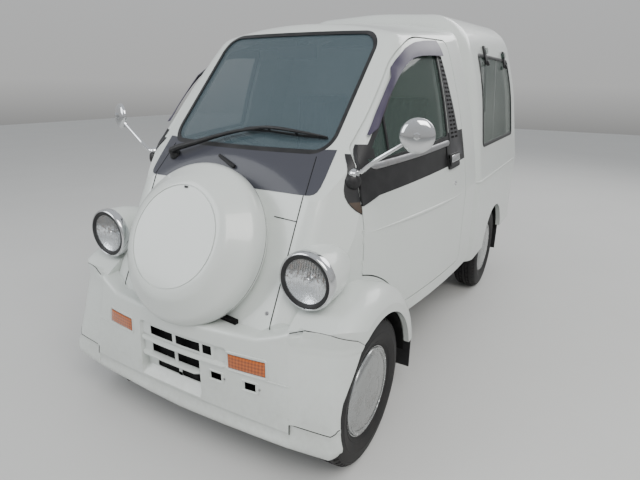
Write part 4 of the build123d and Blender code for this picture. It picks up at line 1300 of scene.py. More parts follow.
    def lenses(self) -> None:
        """Amber lenses with a moulded edge and ribs."""
        for side in Side:
            w, h = self.lamp_half[0] - 0.001, self.lamp_half[1] - 0.001
            rows, columns = 9, 25
            grid = []
            for j in range(columns):
                u = -1 + 2 * j / (columns - 1)
                line = []
                for i in range(rows):
                    v = -1 + 2 * i / (rows - 1)
                    edge = max(abs(u) ** 8, abs(v) ** 8)
                    out = 0.0026 - 0.0026 * edge + 0.0006 * (j % 2)
                    line.append(self.at(self.param(side.value * self.lamp_y + u * w), self.lamp_z + v * h,
                                        out))
                grid.append(line)
            self.bench.sheet(f"indicator_lens_{side.name.lower()}", grid, 0.009, Finish.AMBER, "body",
                             "amber_lens",
                             ("front_indicators",))

    def band(self, name: str, ring: Sequence[tuple[float, float]], half: float, rise: float,
             finish: Finish = Finish.WHITE, closed: bool = False, out: float = 0.0) -> None:
        """Raised band along points of the front view."""
        at = [self.at(self.param(y), z, out - self.recess(y, z)) for y, z in ring]
        normals = [(self.at(self.param(y), z, 0.01) - self.at(self.param(y), z, 0.0)).normalized() for y,
                   z in ring]
        piece = self.bench.strip(name, at, normals, half, rise, 0.0012, closed)
        self.bench.done(piece, finish, "body", "white_paint" if finish is Finish.WHITE else "black_trim", 40)

    def bezels(self) -> None:
        """Raised frames round the lamps and the small holes."""
        w, h = self.lamp_half
        frames = {"lamp_bezel_left": (self.lamp_y, self.lamp_z, w + 0.007, h + 0.007, 0.014),
                  "lamp_bezel_right": (-self.lamp_y, self.lamp_z, w + 0.007, h + 0.007, 0.014),
                  "small_frame_1": (0.1795, 0.359, 0.030, 0.018, 0.005),
                  "small_frame_2": (0.3135, 0.359, 0.030, 0.018, 0.005)}
        for name, (y, z, wide, high, r) in frames.items():
            ring = eased([(y - wide, z - high, r), (y + wide, z - high, r), (y + wide, z + high, r),
                          (y - wide, z + high, r)])
            even = []
            for (a, b), (c, d) in zip(ring, ring[1:] + ring[:1]):
                count = max(1, round(math.hypot(c - a, d - b) / 0.012))
                even.extend((a + (c - a) * i / count, b + (d - b) * i / count) for i in range(count))
            self.band(name, even, 0.0035, 0.0026, closed=True)
        for name, y in (("small_screw_1", 0.2145), ("small_screw_2", 0.350)):
            out = (self.at(self.param(y), 0.359, 0.01) - self.at(self.param(y), 0.359)).normalized()
            profile = [(-0.001, 0.0035), (0.0012, 0.0032), (0.0018, 0.0020), (0.0010, 0.0)]
            screw = self.bench.spun(name, profile, self.at(self.param(y), 0.359, 0.0022), out, 16)
            self.bench.done(screw, Finish.ALLOY, "body", "bare_metal")

    def shelves(self) -> None:
        """Shelves that stand out between the rows of openings."""
        rows = ((0.4040, -0.188, 0.232, 0.0045, 0.013), (0.3420, -0.186, 0.110, 0.0045, 0.016))
        for number, (z, y0, y1, reach, deep) in enumerate(rows):
            section = ((-deep - 0.004, 0.0062), (reach * 0.2, 0.0046), (reach, 0.0024), (reach, -0.0030),
                       (reach * 0.3, -0.0046), (-deep - 0.004, -0.0050))
            count = math.ceil((y1 - y0) / 0.012) + 1
            points = []
            for i in range(count):
                s = self.param(y0 + (y1 - y0) * i / (count - 1))
                ends = min(1.0, min(i, count - 1 - i) / 2 + 0.25)
                points.extend(self.at(s, z + up, (out + deep + 0.004) * ends - deep - 0.004) for out,
                              up in section)
            size = len(section)
            faces = [(i * size + j, i * size + (j + 1) % size, (i + 1) * size + (j + 1) % size,
                      (i + 1) * size + j)
                     for i in range(count - 1) for j in range(size)]
            faces += [tuple(range(size)), tuple(range((count - 1) * size, count * size))]
            piece = self.bench.closed_up(self.bench.from_points(f"grille_shelf_{number + 1}", points,
                                                                faces=faces))
            self.bench.done(piece, Finish.WHITE, "body", "white_paint", 40)

    def seams(self) -> None:
        """Dark seams of the cheeks and the raised line under the lamps."""
        for side in Side:
            word, sign = side.name.lower(), side.value
            self.band(f"bumper_crease_{word}",
                      [(sign * y, z) for y, z in spread([(0.240, 0.4005), (0.452, 0.394)], 0.015)],
                      0.0030, 0.0024, out=0.0)
            lip = [(sign * 0.4515, z) for z in (0.236, 0.247, 0.258, 0.268)]
            self.band(f"cheek_step_seam_{word}", lip, 0.0014, 0.0004, Finish.SEAM, out=0.0008)
            start = abs(self.param(0.456))
            for name, line in (
                    ("cheek_lip_seam", [(k / 12, self.lip(0.452 + 0.19 * min(1.0, k / 12 * 1.15)) + 0.001,
                                         -0.003)
                                        for k in range(13)]),
                    ("cheek_crown_seam", [(k / 14, self.crown_z(start, k / 14), 0.0008) for k in range(15)])):
                at, normals = [], []
                for share, z, out in line:
                    s = sign * (start + (self.edge(z) - start) * share)
                    at.append(self.at(s, z, out))
                    normals.append((self.at(s, z, 0.01) - self.at(s, z)).normalized())
                piece = self.bench.strip(f"{name}_{word}", at, normals, 0.0014, 0.0005)
                self.bench.done(piece, Finish.SEAM, "body", "black_trim")

    def build(self) -> None:
        """Make all the bumper's pieces."""
        self.skin()
        self.bezels()
        self.lenses()
        self.shelves()
        self.seams()


@dataclass
class Nose:
    """Seams, screws and washer nozzle of the nose and the cowl, and the cover's edge."""

    bench: Bench
    cover_at: Point = (1.1543, 0.0, 0.736)
    cover_way: Point = (0.8898, 0.0, 0.4564)
    skin: Skin = field(init=False)

    def __post_init__(self) -> None:
        """Read the nose's surface."""
        self.skin = Skin("cab_shell", "nose_panel", "cowl_panel", "front_bumper")

    def seams(self) -> None:
        """Upright seams at both sides and the cross seam."""
        lines = {
            "nose_seam": [(0.345, 0.535), (0.345, 0.700), (0.346, 0.944)],
            "cowl_seam": [(0.352, 0.946), (0.333, 1.058)],
            "nose_cross_seam": [(0.255, 0.868), (0.345, 0.864)],
        }
        for name, corners in lines.items():
            for side in Side:
                line = [(side.value * y, z) for y, z in spread(corners, 0.015)]
                at, normals = self.skin.laid(self.skin.front(y, z) for y, z in line)
                piece = self.bench.strip(f"{name}_{side.name.lower()}", at, normals, 0.0014, 0.0022)
                self.bench.done(piece, Finish.SEAM, "body", "black_trim")

    def screws(self) -> None:
        """Two screws low on the nose."""
        for side in Side:
            found = self.skin.front(side.value * 0.322, 0.585)
            if found:
                profile = [(-0.001, 0.0075), (0.0008, 0.0072), (0.0012, 0.0050), (0.0034, 0.0046),
                           (0.0040, 0.0030),
                           (0.0030, 0.0012), (0.0030, 0.0)]
                piece = self.bench.spun(f"nose_screw_{side.name.lower()}", profile, found[0], found[1], 20)
                self.bench.done(piece, Finish.ALLOY, "body", "bare_metal")

    def cowl(self) -> None:
        """Dark cowl panel from the cross edge up to the seal, with rounded lower corners."""
        skin = Skin("cab_shell", "nose_panel", "cowl_panel")
        corner = ((0.352, 0.9440), (0.366, 0.9445), (0.378, 0.9480), (0.386, 0.9550), (0.3905, 0.9700),
                  (0.3925, 1.000))
        ys = [k * 0.352 / 16 for k in range(17)] + [y for y, _ in corner[1:]]
        grid = []
        for y in [-y for y in reversed(ys[1:])] + ys:
            low = between(corner, abs(y))
            top = 1.081 if abs(y) > 0.36 else 1.100
            seen = ((z, skin.front(y, z)) for z in (top - 0.001 * k for k in range(150)))
            high = next(z for z, found in seen if found and found[0].x > 0.86)
            line = []
            for k in range(15):
                at, normal = skin.front(y, low + (high - low) * k / 14)
                line.append(at + normal * 0.0012)
            grid.append(line)
        self.bench.sheet("cowl_cover", grid, 0.0016, Finish.COWL, "body", "blue_grey_paint", ("cowl_panel",))

    def nozzle(self) -> None:
        """Washer nozzle on the cowl, and the dark slot above the bumper."""
        near, far = self.skin.front(-0.046, 1.036), self.skin.front(0.036, 1.003)
        points = [near[0].lerp(far[0], k / 4) + near[1] * (0.006 + 0.004 * math.sin(math.pi * k / 4))
                  for k in range(5)]
        stem = self.bench.tube("washer_nozzle", points, 0.0085, 3, (0.75, 0.9, 0.8, 1.1, 0.9))
        self.bench.done(stem, Finish.BLACK, "body", "black_trim")
        slot = self.bench.block("latch_slot", (1.262, 0.186, 0.5415), (0.018, 0.076, 0.016), 0.003, 2,
                                (0, 0, -0.12))
        self.bench.done(slot, Finish.SEAM, "body", "black_trim")

    # Painted reflection: brown laid on the lower black corner ahead of each door.
    def cover(self) -> None:
        """Edge seam and catch of the spare wheel's cover."""
        way = Vector(self.cover_way).normalized()
        side = Vector((0, 1, 0))
        up = way.cross(side) * -1
        skin = Skin("spare_wheel_cover")
        ring = []
        for k in range(120):
            turn = 2 * math.pi * k / 120
            ring.append(side * math.cos(turn) + up * math.sin(turn))
        at, normals = skin.laid(skin.hit(tuple(Vector(self.cover_at) + r * 0.5 + way * 0.050), tuple(-r))
                                for r in ring)
        seam = self.bench.strip("cover_edge_seam", at, normals, 0.0010, 0.0004, closed=True)
        self.bench.done(seam, Finish.SEAM, "body", "black_trim")
        start = Vector(self.cover_at) - up * 0.168 + way * 0.6
        found = skin.hit(tuple(start), tuple(-way))
        if found:
            catch = self.bench.block("cover_catch", found[0] + up * -0.002, (0.010, 0.014, 0.007), 0.002, 2,
                                     (0, -0.474, 0))
            self.bench.done(catch, Finish.BLACK, "body", "black_trim")

    def build(self) -> None:
        """Make all the nose's pieces."""
        self.cowl()
        self.seams()
        self.screws()
        self.nozzle()
        self.cover()


@dataclass
class Wiper:
    """Wiper with its pivot, sprung arm and an arched bow with claws and a blade."""

    bench: Bench
    arm: tuple[tuple[float, float, float], ...] = ((-0.288, 1.018, 0.030), (-0.262, 1.028, 0.034),
                                                   (-0.190, 1.050, 0.030), (-0.105, 1.082, 0.026),
                                                   (0.020, 1.118, 0.022), (0.120, 1.128, 0.022))
    blade: tuple[tuple[float, float], ...] = ((0.005, 1.126), (0.120, 1.124), (0.237, 1.116), (0.345, 1.112))

    def above(self, skin: Skin, y: float, z: float, lift: float) -> Vector:
        """Point over the screen.

        Args:
            skin: the surfaces below the wiper.
            y: distance from the middle.
            z: about its height.
            lift: distance from the surface.

        Returns:
            The point.
        """
        found = skin.front(y, z)
        return found[0] + Vector((1, 0, 0.989)).normalized() * lift

    def build(self) -> None:
        """Make the wiper."""
        skin = Skin("windscreen", "cab_shell", "cowl_panel", "windscreen_seal")
        normal = Vector((1, 0, 0.989)).normalized()
        base = [(0.0, 0.023), (0.012, 0.0225), (0.020, 0.018), (0.026, 0.014), (0.036, 0.0135),
                (0.041, 0.009),
                (0.042, 0.0)]
        root = self.above(skin, self.arm[0][0], self.arm[0][1], 0.0)
        pieces = [self.bench.spun("wiper_pivot", base, root - normal * 0.004, normal, 28)]
        arm = [self.above(skin, y, z, lift) for y, z, lift in self.arm]
        pieces.append(self.bench.tube("wiper_arm", arm, 0.0088, 3, (1.5, 1.4, 1.2, 0.9, 0.75, 0.6)))
        count = 12
        spine = []
        for k in range(count + 1):
            y = self.blade[0][0] + (self.blade[-1][0] - self.blade[0][0]) * k / count
            spine.append((y, between(self.blade, y)))
        for lift, radius, name in ((0.0045, 0.0026, "edge"), (0.0100, 0.0034, "rubber")):
            pieces.append(self.bench.tube(f"wiper_{name}", [self.above(skin, y, z, lift) for y, z in spine],
                                          radius, 2))
        bow = [self.above(skin, y, z, 0.013 + 0.018 * math.sin(math.pi * k / count))
               for k, (y, z) in enumerate(spine)]
        thick = [0.5 + 1.1 * math.sin(math.pi * k / count) for k in range(count + 1)]
        pieces.append(self.bench.tube("wiper_bow", bow, 0.0042, 2, thick))
        for k in (1, 4, 8, 11):
            y, z = spine[k]
            low, high = self.above(skin, y, z, 0.006), self.above(skin, y, z, 0.016 + 0.014
                                                                  * math.sin(math.pi * k / count))
            pieces.append(self.bench.tube(f"wiper_claw_{k}", [low, low.lerp(high, 0.5), high], 0.0045, 2))
        piece = self.bench.joined(pieces, "screen_wiper")
        self.bench.done(piece, Finish.BLACK, "body", "black_trim", 40, ("wiper",))


@dataclass
class Mirrors:
    """Round chrome mirrors on long stalks."""

    bench: Bench
    at: Point = (0.930, 0.681, 1.149)
    way: Point = (1.0, 0.35, 0.05)
    radius: float = 0.0545
    foot: Point = (0.936, 0.478, 1.012)
    bend: Point = (0.950, 0.536, 1.052)

    def head(self) -> bpy.types.Object:
        """Domed back of the mirror."""
        r = self.radius
        back = [(-0.0095, r - 0.0015), (-0.0100, r), (-0.0065, r), (-0.003, r - 0.001), (0.002, r - 0.005),
                (0.0062, r - 0.014), (0.0088, r - 0.027), (0.0100, r - 0.042), (0.0104, 0.0)]
        return self.bench.spun("mirror_head_left", back, self.at, self.way, 64)

    def glass(self) -> bpy.types.Object:
        """Mirror glass on the side that faces back."""
        r = self.radius
        face = [(-0.0080, r - 0.0012), (-0.0092, r - 0.003), (-0.0100, r - 0.018), (-0.0104, r - 0.035),
                (-0.0105, 0.0)]
        return self.bench.spun("mirror_glass_left", face, self.at, self.way, 64)

    def stalk(self) -> bpy.types.Object:
        """Stalk with its foot and a collar."""
        way = Vector(self.way).normalized()
        end = Vector(self.at) + way * 0.004
        path = [Vector(self.foot), Vector((0.945, 0.500, 1.016)), Vector(self.bend),
                Vector((0.944, 0.600, 1.096)), end]
        rod = self.bench.tube("mirror_stalk_left", path, 0.0068, 3, (1.35, 1.25, 1.05, 0.9, 0.85))
        out = (Vector(self.bend) - Vector(self.foot)).normalized()
        base = [(-0.012, 0.0), (-0.012, 0.018), (-0.004, 0.021), (0.004, 0.0195), (0.010, 0.0145),
                (0.016, 0.0100),
                (0.022, 0.0085), (0.0225, 0.0)]
        foot = self.bench.spun("mirror_foot_left", base, self.foot, tuple(out + Vector((0.35, 0, -0.3))), 40)
        nut = self.bench.spun("mirror_nut_left", [(0.0, 0.0), (0.0, 0.012), (0.009, 0.012), (0.012, 0.008),
                                                  (0.012, 0.0)],
                              tuple(end + way * 0.004 - Vector((0, 0.002, 0.0))), tuple(way), 6)
        boss = [(-0.020, 0.0), (-0.018, 0.017), (-0.006, 0.026), (0.006, 0.027), (0.014, 0.021),
                (0.018, 0.010), (0.0185, 0.0)]
        knob = self.bench.spun("mirror_boss_left", boss, (0.941, 0.474, 0.988), (0.75, 0.6, 0.1), 40)
        for item in (knob, self.bench.mirrored(knob, "mirror_boss_right")):
            self.bench.done(item, Finish.BLACK, "body", "black_trim", 40, ("mirrors",))
        return self.bench.joined([rod, foot, nut], "mirror_stalk_left")

    def build(self) -> None:
        """Make both mirrors."""
        for piece, finish, slot, nodes in ((self.head(), Finish.CHROME, "chrome", ("mirrors",)),
                                           (self.glass(), Finish.MIRROR, "chrome", ()),
                                           (self.stalk(), Finish.CHROME, "chrome", ("mirrors",))):
            twin = self.bench.mirrored(piece, piece.name.replace("left", "right"))
            for item in (piece, twin):
                self.bench.done(item, finish, "body", slot, 35, nodes)


@dataclass
class DoorSide:
    """Trim of one door: visor, bars, moulding, handle and lock."""

    bench: Bench
    side: Side
    skin: Skin = field(init=False)
    glass: Skin = field(init=False)

    def __post_init__(self) -> None:
        """Read the door's surfaces."""
        word = self.side.name.lower()
        self.skin = Skin(f"door_{word}", f"door_trim_{word}")
        self.glass = Skin(f"door_{word}", f"door_trim_{word}", f"door_glass_{word}")

    def line(self, corners: Sequence[tuple[float, float]], skin: Skin, step: float = 0.015
             ) -> tuple[list[Vector], list[Vector]]:
        """Points and normals along a line of the side view."""
        return skin.laid(skin.side(x, z, self.side) for x, z in spread(corners, step))

    def visor(self) -> bpy.types.Object:
        """Translucent rain visor over the window's upper edge."""
        high = [(0.838, 1.134), (0.811, 1.162), (0.770, 1.208), (0.724, 1.253), (0.687, 1.290),
                (0.649, 1.325), (0.612, 1.355),
                (0.574, 1.383), (0.530, 1.408), (0.484, 1.430), (0.433, 1.446), (0.381, 1.459),
                (0.300, 1.469),
                (0.218, 1.476), (0.150, 1.480)]
        low = [(0.832, 1.122), (0.792, 1.146), (0.745, 1.196), (0.702, 1.240), (0.660, 1.277), (0.618, 1.312),
               (0.575, 1.338),
               (0.534, 1.360), (0.495, 1.376), (0.455, 1.390), (0.410, 1.398), (0.366, 1.403), (0.300, 1.407),
               (0.225, 1.410), (0.152, 1.412)]
        grid = []
        for (hx, hz), (lx, lz) in zip(high, low):
            top, normal = self.skin_or_glass(hx, hz)
            drop = top + Vector((lx - hx, 0, lz - hz))
            low_at, low_normal = self.skin_or_glass(lx, lz)
            foot = Vector((lx, low_at.y, lz)) + low_normal * 0.017
            slack = self.side.value * (foot.y - drop.y)
            foot.y += self.side.value * max(0.0, 0.006 - slack)
            start = top + normal * 0.0018
            out = Vector((0, self.side.value, 0))
            grid.append([start.lerp(foot, k / 6) + out * 0.004 * math.sin(math.pi * k / 6) for k in range(7)])
        return self.bench.sheet(f"rain_visor_{self.side.name.lower()}", grid, 0.0022, Finish.VISOR,
                                f"door_{self.side.name.lower()}", "glass", (), 60)

    def skin_or_glass(self, x: float, z: float) -> tuple[Vector, Vector]:
        """Point and normal on the door or its glass."""
        return self.glass.side(x, z, self.side) or (Vector((x, self.side.value * 0.47, z)),
                                                     Vector((0, self.side.value, 0)))

    def build(self) -> None:
        """Make the door's pieces."""
        word = self.side.name.lower()
        body = f"door_{word}"
        self.visor()
        self.patches(word, body)
        at, normals = self.line([(0.866, 1.027), (0.500, 1.041), (0.205, 1.056)], self.skin)
        sill = self.bench.strip(f"window_moulding_{word}", at, normals, 0.0120, 0.0070, fade=2)
        self.bench.done(sill, Finish.ALLOY, body, "bare_metal", 50)
        at, normals = self.line([(0.742, 1.060), (0.742, 1.186)], self.glass, 0.01)
        bar = self.bench.strip(f"window_bar_{word}", at, normals, 0.0055, 0.0060)
        self.bench.done(bar, Finish.BLACK, body, "black_trim", 50)
        at, normals = self.line([(0.930, 0.808), (0.60, 0.806), (0.30, 0.804), (0.018, 0.803)], self.skin,
                                0.02)
        rib = self.bench.strip(f"door_rib_{word}", at, normals, 0.0065, 0.0042, fade=16)
        self.bench.done(rib, Finish.WHITE, body, "white_paint", 60)
        self.handle(word, body)

    def patch(self, name: str, rows: Sequence[tuple[float, float, float]], skin: Skin, finish: Finish,
              body: str,
              rise: float = 0.0012, columns: int = 6, stands_for: Sequence[str] = (),
              wrap: float = 0.0) -> None:
        """Thin panel laid on the side between two edges.

        Args:
            name: its name.
            rows: height, front edge and rear edge of each row.
            skin: the surface that it lies on.
            finish: its finish.
            body: the CAD body that carries it.
            rise: how far it stands out.
            columns: its steps from front to rear.
            stands_for: the CAD nodes that it replaces.
            wrap: how far its front edge turns in round the panel's edge.
        """
        grid = []
        for z, front, rear in rows:
            line = []
            for k in range(columns + 1):
                x = front + (rear - front) * k / columns
                near = x + math.copysign(0.0030, (front + rear) / 2 - x)
                found = skin.side(x, z, self.side)
                other = skin.side(near, z, self.side)
                if other and (not found or abs(found[0].y - other[0].y) > 0.02):
                    found = (Vector((x, other[0].y, z)), other[1])
                if found:
                    line.append(found[0] + found[1] * rise)
            if len(line) == columns + 1:
                if wrap:
                    line.insert(0, line[0] - Vector((0, self.side.value * wrap, 0)))
                grid.append(line)
        self.bench.sheet(name, grid, 0.0016, finish, body, "black_trim", stands_for)

    def rim_x(self, skin: Skin, z: float, start: float, step: float) -> float:
        """Where a surface starts along the side, looked for from a place on."""
        x = start
        for _ in range(240):
            found = skin.side(x, z, self.side)
            if found and abs(found[0].y) > 0.40 and found[0].y * self.side.value > 0:
                return x
            x += step
        return start

    def patches(self, word: str, body: str) -> None:
        """Black corner ahead of the door with a painted brown reflection on its lower part, black window
        corner, rear window post and its vent panel.
        """
        cab, door = Skin("cab_shell"), Skin(f"door_{word}", f"door_trim_{word}")
        lobe = ((0.878, 0.9400), (0.884, 0.9500), (0.893, 0.9590), (0.905, 0.9670), (0.920, 0.9730),
                (0.940, 0.9760),
                (0.962, 0.9720), (0.993, 0.9600), (1.025, 0.9400), (1.054, 0.9190), (1.080, 0.8990),
                (1.110, 0.8720))
        seam = ((0.876, 0.9335), (0.917, 0.9325), (0.975, 0.9255), (1.015, 0.9180), (1.054, 0.9085),
                (1.114, 0.8645),
                (1.166, 0.8150))
        heights = [0.8785, 0.884, 0.893, 0.905, 0.920, 0.940, 0.962, 0.980, 0.993, 1.010, 1.025, 1.040, 1.054,
                   1.070]
        ends = {z: self.rim_x(cab, z, between(seam, z) - 0.035, 0.0005) for z in heights}
        starts = {z: self.rim_x(door, z, between(seam, z) + 0.035, -0.0005) for z in
                  (*heights, 0.912, 0.930, 1.085, 1.100, 1.115, 1.130)}
        rows = [(z, max(between(lobe, z), ends[z] + 0.003), ends[z] - 0.0008) for z in heights]
        self.patch(f"black_corner_{word}", rows, cab, Finish.BLACK, "body", 0.0022, 6, ("corner_trims",))
        # Painted reflection: a brown patch on the lower rows of the black corner.
        brown = [(z, max(between(lobe, z), ends[z] + 0.003) - 0.003, ends[z] + 0.003)
                 for z in (0.884, 0.893, 0.905, 0.920)]
        self.patch(f"brown_corner_{word}", brown, cab, Finish.BROWN, "body", 0.0028, 4)
        arc = ((0.905, 0.820), (1.020, 0.820), (1.034, 0.880), (1.042, 0.890), (1.060, 0.8760),
               (1.085, 0.8510),
               (1.100, 0.8360), (1.130, 0.8060))
        foot = ((0.905, 0.922), (0.912, 0.890), (0.920, 0.858), (0.930, 0.820))
        rows = [(z, starts[z] + 0.0008, max(between(arc, z), between(foot, z))) for z in
                (0.905, 0.912, 0.920, 0.930, 0.940, 0.962, 0.980, 0.993, 1.010, 1.025, 1.040, 1.054, 1.070,
                 1.085, 1.100)]
        self.patch(f"window_corner_{word}", rows, door, Finish.BLACK, body, 0.0024, 8, (), 0.012)
        pane = Skin(f"door_glass_{word}")
        rows = [(z, between(arc, z) - 0.011, 0.826) for z in (1.054, 1.064, 1.076, 1.086)]
        self.patch(f"glass_corner_{word}", rows, pane, Finish.BLACK, body, 0.0020, 4)
        post = ((0.930, 0.262), (0.985, 0.258), (1.060, 0.249), (1.437, 0.207))
        inner = ((0.930, 0.215), (0.985, 0.212), (1.060, 0.206), (1.437, 0.176))
        back = ((0.930, 0.020), (0.960, 0.034), (0.985, 0.050), (1.100, 0.085), (1.250, 0.113),
                (1.400, 0.140), (1.437, 0.150))
        heights = [0.990 + (1.437 - 0.990) * k / 18 for k in range(19)]
        self.patch(f"window_post_{word}", [(z, between(post, z), between(inner, z)) for z in heights],
                   self.skin,
                   Finish.BLACK, body, 0.0034, 3)
        self.patch(f"window_vent_{word}", [(z, between(inner, z) + 0.002, between(back, z)) for z in heights],
                   self.skin,
                   Finish.VENT, body, 0.0024, 4)
        slots, faces = [], []
        for k in range(20):
            z = 1.075 + 0.0175 * k
            for share in (0.30, 0.68):
                x = between(inner, z) + (between(back, z) - between(inner, z)) * share
                found = self.skin.side(x, z, self.side)
                if not found:
                    continue
                at, normal = found
                wide = abs(between(inner, z) - between(back, z)) * 0.13
                up = Vector((0, 0, 1)).cross(normal).normalized()
                along = normal.cross(up).normalized()
                start = len(slots)
                for out in (0.0015, 0.0034):
                    slots.extend(at + normal * out + up * wide * a + along * 0.0042 * b
                                 for a, b in ((-1, -1), (1, -1), (1, 1), (-1, 1)))
                faces.extend(tuple(start + i for i in ring) for ring in (
                    (3, 2, 1, 0), (4, 5, 6, 7), (0, 1, 5, 4), (1, 2, 6, 5), (2, 3, 7, 6), (3, 0, 4, 7)))
        piece = self.bench.closed_up(self.bench.from_points(f"vent_slots_{word}", slots, faces=faces))
        self.bench.done(piece, Finish.SEAM, body, "black_trim")

    def handle(self, word: str, body: str) -> None:
        """Flap handle in its recess, and the lock."""
        at, normal = self.skin.side(0.186, 0.982, self.side)
        tilt = math.atan2(normal.z, abs(normal.y))
        turn = (self.side.value * tilt, 0, 0)
        frame_piece = self.bench.block(f"handle_frame_{word}", at + normal * 0.0012, (0.138, 0.005, 0.054),
                                       0.0022, 3, turn)
        self.bench.done(frame_piece, Finish.BLACK, body, "black_trim")
        flap = self.bench.block(f"handle_flap_{word}", at + normal * 0.0055 + Vector((0.0, 0, 0.004)),
                                (0.118, 0.007, 0.030), 0.0030, 3, turn)
        self.bench.done(flap, Finish.CHROME, body, "chrome")
        found = self.skin.side(0.166, 0.868, self.side)
        if found:
            lock = self.bench.spun(f"door_lock_{word}", [(-0.001, 0.0), (-0.001, 0.0105), (0.0022, 0.0100),
                                                         (0.0032, 0.0080), (0.0026, 0.0030), (0.0008, 0.0020),
                                                         (0.0008, 0.0)], found[0], found[1], 28)
            self.bench.done(lock, Finish.CHROME, body, "chrome")


@dataclass
class LoadBox:
    """Window surrounds, catches and ribs of the closed load box."""

    bench: Bench
    corners: tuple[tuple[float, float], ...] = ((-0.345, 0.985), (-0.420, 1.452), (-1.262, 1.452),
                                                (-1.225, 0.985))

    def build(self) -> None:
        """Make the box's pieces on both sides."""
        skin = Skin("box_shell", "quarter_windows")
        wall = Skin("box_shell")
        for side in Side:
            word = side.name.lower()
            ring = eased([(x, z, 0.028) for x, z in self.corners])
            even = []
            for (a, b), (c, d) in zip(ring, ring[1:] + ring[:1]):
                count = max(1, round(math.hypot(c - a, d - b) / 0.03))
                even.extend((a + (c - a) * i / count, b + (d - b) * i / count) for i in range(count))
            at, normals = skin.laid(skin.side(x, z, side) for x, z in even)
            seal = self.bench.strip(f"quarter_seal_{word}", at, normals, 0.0090, 0.0035, closed=True)
            self.bench.done(seal, Finish.BLACK, "body", "black_trim", 50)
            self.catches(skin, side, word)
            at, normals = wall.laid(wall.side(x, z, side) for x,
                                    z in spread([(-0.200, 0.803), (-1.355, 0.803)], 0.025))
            rib = self.bench.strip(f"box_rib_{word}", at, normals, 0.0065, 0.0042, fade=2)
            self.bench.done(rib, Finish.WHITE, "body", "white_paint", 60)

    def catches(self, skin: Skin, side: Side, word: str) -> None:
        """Two dark catches at the window's upper edge."""
        pieces = []
        for x in (-0.576, -1.137):
            found = skin.side(x, 1.497, side)
            if not found:
                continue
            at, normal = found
            low = skin.side(x, 1.410, side)[0]
            plate = self.bench.block(f"catch_plate_{word}", (at + low) / 2 + normal * 0.006,
                                     (0.040, 0.010, 0.105),
                                     0.004, 3, (math.atan2(normal.z, abs(normal.y)) * side.value * 0.9, 0, 0))
            knob = self.bench.spun(f"catch_knob_{word}", [(0.0, 0.0), (0.0, 0.014), (0.010, 0.0135),
                                                          (0.013, 0.010),
                                                          (0.014, 0.0)], low + normal * 0.008, normal, 24)
            pieces.extend([plate, knob])
        if pieces:
            self.bench.done(self.bench.joined(pieces, f"window_catches_{word}"), Finish.BLACK, "body",
                            "black_trim")


@dataclass
class SteeringWheel:
    """Soft rim, three spokes and a padded centre."""

    bench: Bench
    at: Point = (0.640, -0.230, 0.985)
    way: Point = (-0.62, 0.0, 0.785)
    rim_r: float = 0.175
    grip_r: float = 0.0118

    def build(self) -> None:
        """Make the steering wheel."""
        way = Vector(self.way).normalized()
        side = Vector((0, 1, 0))
        up = side.cross(way)
        ring = [(self.grip_r * math.cos(2 * math.pi * k / 16),
                 self.rim_r + self.grip_r * math.sin(2 * math.pi * k / 16)) for k in range(17)]
        rim = self.bench.spun("steering_rim", ring, self.at, self.way, 72)
        pad = [(-0.034, 0.0), (-0.034, 0.040), (-0.020, 0.044), (-0.006, 0.043), (-0.001, 0.036),
               (0.001, 0.020),
               (0.0015, 0.0)]
        hub = self.bench.spun("steering_pad", pad, self.at, self.way, 40)
        pieces = [rim, hub]
        for angle in (90, 210, 330):
            turn = math.radians(angle)
            ray = up * math.sin(turn) + side * math.cos(turn)
            start = Vector(self.at) + ray * 0.036 - way * 0.012
            end = Vector(self.at) + ray * (self.rim_r - 0.004) - way * 0.002
            middle = (start + end) / 2 - way * 0.004
            for shift in (-0.0085, 0.0085):
                across = ray.cross(way) * shift
                pieces.append(self.bench.tube(f"steering_spoke_{angle}",
                                              [start + across, middle + across * 0.9,
                                                                        end + across * 0.7], 0.0078, 3))
        wheel = self.bench.joined(pieces, "steering_wheel_trim")
        self.bench.done(wheel, Finish.BLACK, "steering_wheel", "black_trim", 40, ("steering_wheel",))
        horn = self.bench.spun("horn_button", [(0.0, 0.021), (0.003, 0.0205), (0.0042, 0.016), (0.0045, 0.0)],
                               tuple(Vector(self.at) + way * 0.0005), self.way, 32)
        self.bench.done(horn, Finish.GREY, "steering_wheel", "black_trim")


